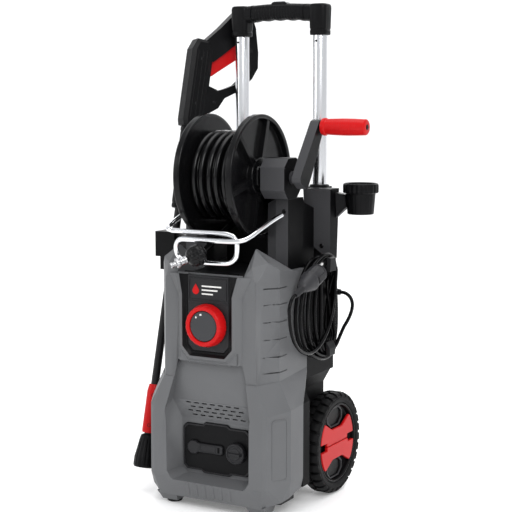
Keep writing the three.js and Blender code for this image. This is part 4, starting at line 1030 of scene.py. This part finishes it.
# ------------------------------------------------------------------ handle
for s, side in ((1, "right"), (-1, "left")):
    tp = rounded([(12.4, 486), (14, 486), (14, 905), (12.4, 905)], 0.5, 3, closed=True)
    new_obj("slide_tube_" + side, lathe_bm(tp, (s * 87.5, 47, 0), (0, 0, 1), 72, closed=True), "handle", "alu", ("handle_tube_" + side,), smooth=40)
    new_obj("lock_button_" + side, lathe_bm(rounded([(0, -1.2), (2.4, -1.2), (2.4, 0.5), (1.6, 1.1), (0, 1.2)], 0.3), (s * 87.5 - 1.5, 47 - 13.7, 881), (0, -1, 0), 24), "handle", "gloss", smooth=30)
    # collar where the tube enters its tower
    new_obj("tube_collar_" + side, lathe_bm(rounded([(14.9, 597.6), (19.5, 597.6), (19.5, 600.2), (17.8, 602), (14.9, 602)], 0.6, 3, closed=True), (s * 87.5, 47, 0), (0, 0, 1), 48, closed=True),
            "machine", "black", smooth=34)

# grip: square-shouldered sockets over the tubes and an arched bar with ribs and finger waves
def socket_bm(sx, bm):
    rings = []
    N = 64
    rows = [(892.4, 16.6), (893.2, 17.4), (895, 17.8), (901, 17.9), (901.8, 17.2), (904.0, 17.2), (904.8, 18.0), (925, 18.5), (944, 19.0), (948.6, 18.6), (951.2, 17.2), (952.6, 14.6), (953.0, 10.0)]
    for z, r in rows:
        row = []
        for k in range(N):
            t = 2 * math.pi * k / N
            c, q = math.cos(t), math.sin(t)
            pw = 0.56
            x_, y_ = math.copysign(abs(c) ** pw, c) * r, math.copysign(abs(q) ** pw, q) * r
            # upright ridges on the flat faces
            g = 0.55 if (904 < z < 946 and (abs(abs(x_) - 6.5) < 1.6 or abs(abs(y_) - 6.5) < 1.6)) else 0.0
            L_ = math.hypot(x_, y_)
            row.append(bm.verts.new(L(sx * 87.5 + x_ * (1 - g / L_), 47 + y_ * (1 - g / L_), z)))
        rings.append(row)
    for a, b in zip(rings, rings[1:]):
        for k in range(N):
            bm.faces.new((a[k], a[(k + 1) % N], b[(k + 1) % N], b[k]))
    bm.faces.new(rings[-1])
    inner = [bm.verts.new(L(sx * 87.5 + 14.4 * math.cos(2 * math.pi * k / N), 47 + 14.4 * math.sin(2 * math.pi * k / N), 892.4)) for k in range(N)]
    top = [bm.verts.new(v.co + Vector((0, 0, 0.0128))) for v in inner]
    for k in range(N):
        m = (k + 1) % N
        bm.faces.new((rings[0][k], rings[0][m], inner[m], inner[k]))
        bm.faces.new((inner[k], inner[m], top[m], top[k]))
    bm.faces.new(top)
    return bm


gb = bmesh.new()
socket_bm(1, gb)
socket_bm(-1, gb)
SEG = 64
rings = []
xs = [-80 + 0.8 * k for k in range(201)]
for x in xs:
    zc = 934.2 + 5.0 * (1 - (x / 87.5) ** 2)
    ribs = -0.7 if (abs(x) < 50 and math.sin(x * 2 * math.pi / 6.4) > 0.5) else 0.0
    wave = 0.8 * math.cos(x * 2 * math.pi / 27.0) if abs(x) < 54 else 0
    bead = -1.2 if 57 < abs(x) < 59.4 else (0.5 if abs(x) > 59.4 else 0.0)
    row = []
    for k in range(SEG):
        t = 2 * math.pi * k / SEG
        c, sn = math.cos(t), math.sin(t)
        pw = 0.80
        ex, ey = math.copysign(abs(c) ** pw, c), math.copysign(abs(sn) ** pw, sn)
        rib_here = ribs if sn < 0.55 else 0.0
        rr_ = 16.6 + bead + rib_here
        seam = -0.35 if (abs(sn) < 0.06) else 0.0
        q = Vector((x, 47 + ex * (rr_ + seam), zc + ey * (rr_ + (wave if sn < -0.2 else 0))))
        if abs(q.x) < 17.4 and abs(q.y - 47) < 10.4 and q.z > 945:
            q.z = 945.8
        row.append(gb.verts.new(L(*q)))
    rings.append(row)
for a, b in zip(rings, rings[1:]):
    for k in range(SEG):
        gb.faces.new((a[k], a[(k + 1) % SEG], b[(k + 1) % SEG], b[k]))
gb.faces.new(rings[0])
gb.faces.new(rings[-1])
new_obj("carry_grip", gb, "handle", "black", ("handle_grip",), smooth=38)
btn = hull_bm([L(x, 47 + y, z) for x, y, z in [(-16, -9, 951), (16, -9, 951), (-16, 9, 951), (16, 9, 951), (-16, -9, 957), (16, -9, 957), (-16, 9, 957), (16, 9, 957),
                                               (-12, -6, 959.5), (12, -6, 959.5), (-12, 6, 959.5), (12, 6, 959.5)]])
for k in range(-3, 4):
    join_bm(btn, hull_bm([L(k * 3.2 + dx, 47 + dy, z) for dx in (-0.7, 0.7) for dy in (-5, 5) for z in (958.8, 959.5)]))
new_obj("handle_release", btn, "release_button", "gloss", ("release_button",), bevel=0.0008, seg=2)

# ------------------------------------------------------------------ gun and lance
LA, LB = Vector((-185, -172, 60)), Vector((-162, -4, 827))
GD = (LB - LA).normalized()
GG = Vector((0.54, 0.84, 0))
GG = (GG - GD * GG.dot(GD)).normalized()
GN = GG.cross(GD)
GO = LA + GD * ((700 - LA.z) / GD.z)
gpt = lambda g, d, n=0.0: GO + GG * g + GD * d + GN * n
LZ = lambda z: LA + GD * ((z - LA.z) / GD.z)
from_cad("gun_body", "black", 0.0042, 4, 14)
from_cad("gun_trigger", "red", 0.0018, 3, 18)
new_obj("lance_pipe", lathe_bm([(0, 0), (8, 0), (8, (gpt(0, 35.5) - LZ(99)).length), (0, (gpt(0, 35.5) - LZ(99)).length)], LZ(99), GD, 48), "gun", "lance", ("lance_tube",), smooth=34)
for k, (g, w_r) in enumerate(((-9.5, 2.6), (0.5, 2.2), (9.5, 2.6))):
    for sg in (1, -1):
        new_obj("gun_barrel_ridge_%d_%s" % (k, "a" if sg > 0 else "b"), hull_bm([L(*gpt(g + dg, d_, sg * 16.4)) for dg in (-w_r, w_r) for d_ in (24, 172)] + [L(*gpt(g + dg, d_, sg * 18.2)) for dg in (-w_r * 0.35, w_r * 0.35) for d_ in (30, 164)]),
                "gun", "black", bevel=0.0006, seg=2)
SH_A, SH_B = LZ(552), gpt(0, 12.5)
SH_L = (SH_B - SH_A).length


def sheath(r, h, t):
    """flat-sided sheath with a ridge down each corner"""
    if r < 12:
        return r
    c = math.cos(8 * (t + 0.2))
    return r * (1 - 0.035 * (1 - c) * 0.5) - (0.7 if abs(math.cos(4 * (t + 0.6))) > 0.985 else 0)


shp = rounded([(8.9, 0.2), (13.3, -0.4), (15.2, 1.6), (15.6, 8), (14.9, 9), (15.0, 11), (15.8, 12), (17.6, SH_L - 12), (17.0, SH_L - 11), (17.1, SH_L - 9), (18.1, SH_L - 8), (18.2, SH_L - 1), (17.1, SH_L), (8.9, SH_L)], 0.6, 3, closed=True)
new_obj("lance_sheath", lathe_bm(shp, SH_A, GD, 96, closed=True, wobble=sheath), "gun", "black", smooth=32)
for k, (g, d) in enumerate(((0, 60), (0, 150), (52, 226), (108, 190), (40, 70))):
    screw("gun_screw_%d" % k, gpt(g, d, 17.0 if g == 0 else (13.0 if g == 52 else (11.9 if g == 108 else 13.9))), GN, 3.4, 0.8, body="gun")
sl = rounded([(8.3, 0), (12.5, 0), (13.5, 4), (13.5, 82), (12.8, 87), (11, 96), (8.3, 96)], 0.9, 3, closed=True)


def sleeve(r, h, t):
    if r > 10 and 8 < h < 80:
        return r - 0.7 * (1 if math.cos(6 * t) > 0.80 else 0)
    return r


new_obj("lance_red_sleeve", lathe_bm(sl, LZ(113), GD, 144, closed=True, wobble=sleeve), "gun", "red", ("lance_sleeve",), smooth=30)
fd = (Vector((0.45, -0.89, 0)) - GD * Vector((0.45, -0.89, 0)).dot(GD)).normalized()
for k, z in enumerate((128, 186)):
    c = LZ(z)
    new_obj("sleeve_screw_%d" % k, lathe_bm(rounded([(0, -1.0), (3.4, -1.0), (3.4, 0.4), (2.6, 0.5), (2.2, -0.4), (0, -0.5)], 0.2), c + fd * 13.2, fd, 28), "gun", "screw", smooth=30)
nz = rounded([(4, 0), (17, 0), (19.6, 0.6), (20.6, 1.8), (21.5, 5), (21.5, 21), (20.8, 24), (18, 40), (16.4, 52), (14.6, 61), (13.4, 64), (8.4, 66), (8.4, 52), (4, 48)], 0.8, 3, closed=True)


def nozzle(r, h, t):
    if r > 12 and 3 < h < 56:
        return r - 1.15 * (0.5 + 0.5 * math.cos(14 * t)) ** 2 * min(1, (h - 3) / 4)
    return r


new_obj("flared_nozzle", lathe_bm(nz, LZ(46), GD, 168, closed=True, wobble=nozzle), "gun", "black", ("spray_nozzle",), smooth=30)

# ------------------------------------------------------------------ nozzle cup
CUP = (183, 35, 0)


def skirt(r, h, t):
    if r > 31 and 588 < h < 604:
        return r - 1.3 * (0.5 + 0.5 * math.cos(22 * t))
    if 22 < r < 29.2 and h < 587.5 and r > 23.5:
        return r * (1 - 0.012 * (1 if math.cos(16 * t) > 0.6 else 0))
    return r


cprof = rounded([(0, 548), (24.4, 548), (25.6, 549.4), (28.4, 586), (28.8, 588.6), (33.6, 589.4), (34.4, 591), (34.5, 603), (33.6, 606.6), (31.6, 608), (30.2, 607), (29.5, 600), (22.6, 553.2), (21.6, 552), (0, 552)], 0.6, 3)
cup = lathe_bm(cprof, CUP, (0, 0, 1), 176, wobble=skirt)
arm = hull_bm([L(*p) for p in [(139.6, 14, 540), (139.6, 24, 540), (139.6, 10, 590), (139.6, 28, 590), (158.5, 22, 562), (158.5, 42, 562), (156.5, 22, 585), (156.5, 42, 585)]])
new_obj("cup_bowl", cup, "machine", "black", ("nozzle_cup",), smooth=30)
new_obj("cup_arm", arm, "machine", "black", (), bevel=0.0016, seg=3)

# ------------------------------------------------------------------ floor and light
fl = bpy.data.meshes.new("floor")
b = bmesh.new()
W = 14.0
prof2 = [(-9.0, 0.0), (3.2, 0.0)] + [(3.2 + 1.6 * math.sin(math.radians(a)), 1.6 - 1.6 * math.cos(math.radians(a))) for a in range(6, 91, 6)] + [(4.8, 9.0)]
rows = []
for y, z in prof2:
    rows.append([b.verts.new((x, y, z)) for x in (-W, W)])
for a, c in zip(rows, rows[1:]):
    b.faces.new((a[0], a[1], c[1], c[0]))
b.to_mesh(fl)
b.free()
floor = bpy.data.objects.new("studio_floor", fl)
bpy.context.scene.collection.objects.link(floor)
rot = Matrix.Rotation(math.radians(29.5), 4, "Z")
floor.data.transform(rot)
for p in fl.polygons:
    p.use_smooth = True
fm, nt, bb_, tc = base_mat("studio_floor_paint")
tint(nt, bb_, tc, (0.90, 0.90, 0.90), 0.01, 2.0)
bb_.inputs["Roughness"].default_value = 0.6
bb_.inputs["Emission Color"].default_value = (1.0, 1.0, 1.0, 1.0)
bb_.inputs["Emission Strength"].default_value = 0.16
fl.materials.append(fm)


def area(name, loc, target, size, energy, col=(1, 1, 1), size_y=None):
    l = bpy.data.lights.new(name, "AREA")
    l.energy = energy
    l.color = col
    l.shape = "RECTANGLE"
    l.size = size
    l.size_y = size_y or size
    o = bpy.data.objects.new(name, l)
    bpy.context.scene.collection.objects.link(o)
    o.location = loc
    d = Vector(target) - Vector(loc)
    o.rotation_mode = "QUATERNION"
    o.rotation_quaternion = d.to_track_quat("-Z", "Y")
    return o


mid_pt = (0, 0, 0.45)
area("key", (2.3, -2.5, 2.6), mid_pt, 1.5, 78, size_y=2.0)
area("fill", (-2.7, -2.4, 1.6), mid_pt, 1.8, 24, size_y=2.0)
area("top", (0.2, 0.2, 3.2), mid_pt, 2.4, 46)
area("rim", (-0.8, 3.0, 2.2), mid_pt, 2.4, 36, size_y=1.6)
world = bpy.data.worlds.new("studio")
world.use_nodes = True
bg = world.node_tree.nodes["Background"]
bg.inputs["Color"].default_value = (0.95, 0.96, 0.98, 1)
bg.inputs["Strength"].default_value = 0.75
bpy.context.scene.world = world
bpy.context.scene.view_settings.view_transform = "Standard"

# the CAD nodes that stay carry real materials too
KEEP = {}
for n_, o in NODES.items():
    if not o.hide_render:
        print("CAD node shown:", n_)
        m = KEEP.get(n_, "black")
        o.data.materials.clear()
        o.data.materials.append(M[m])
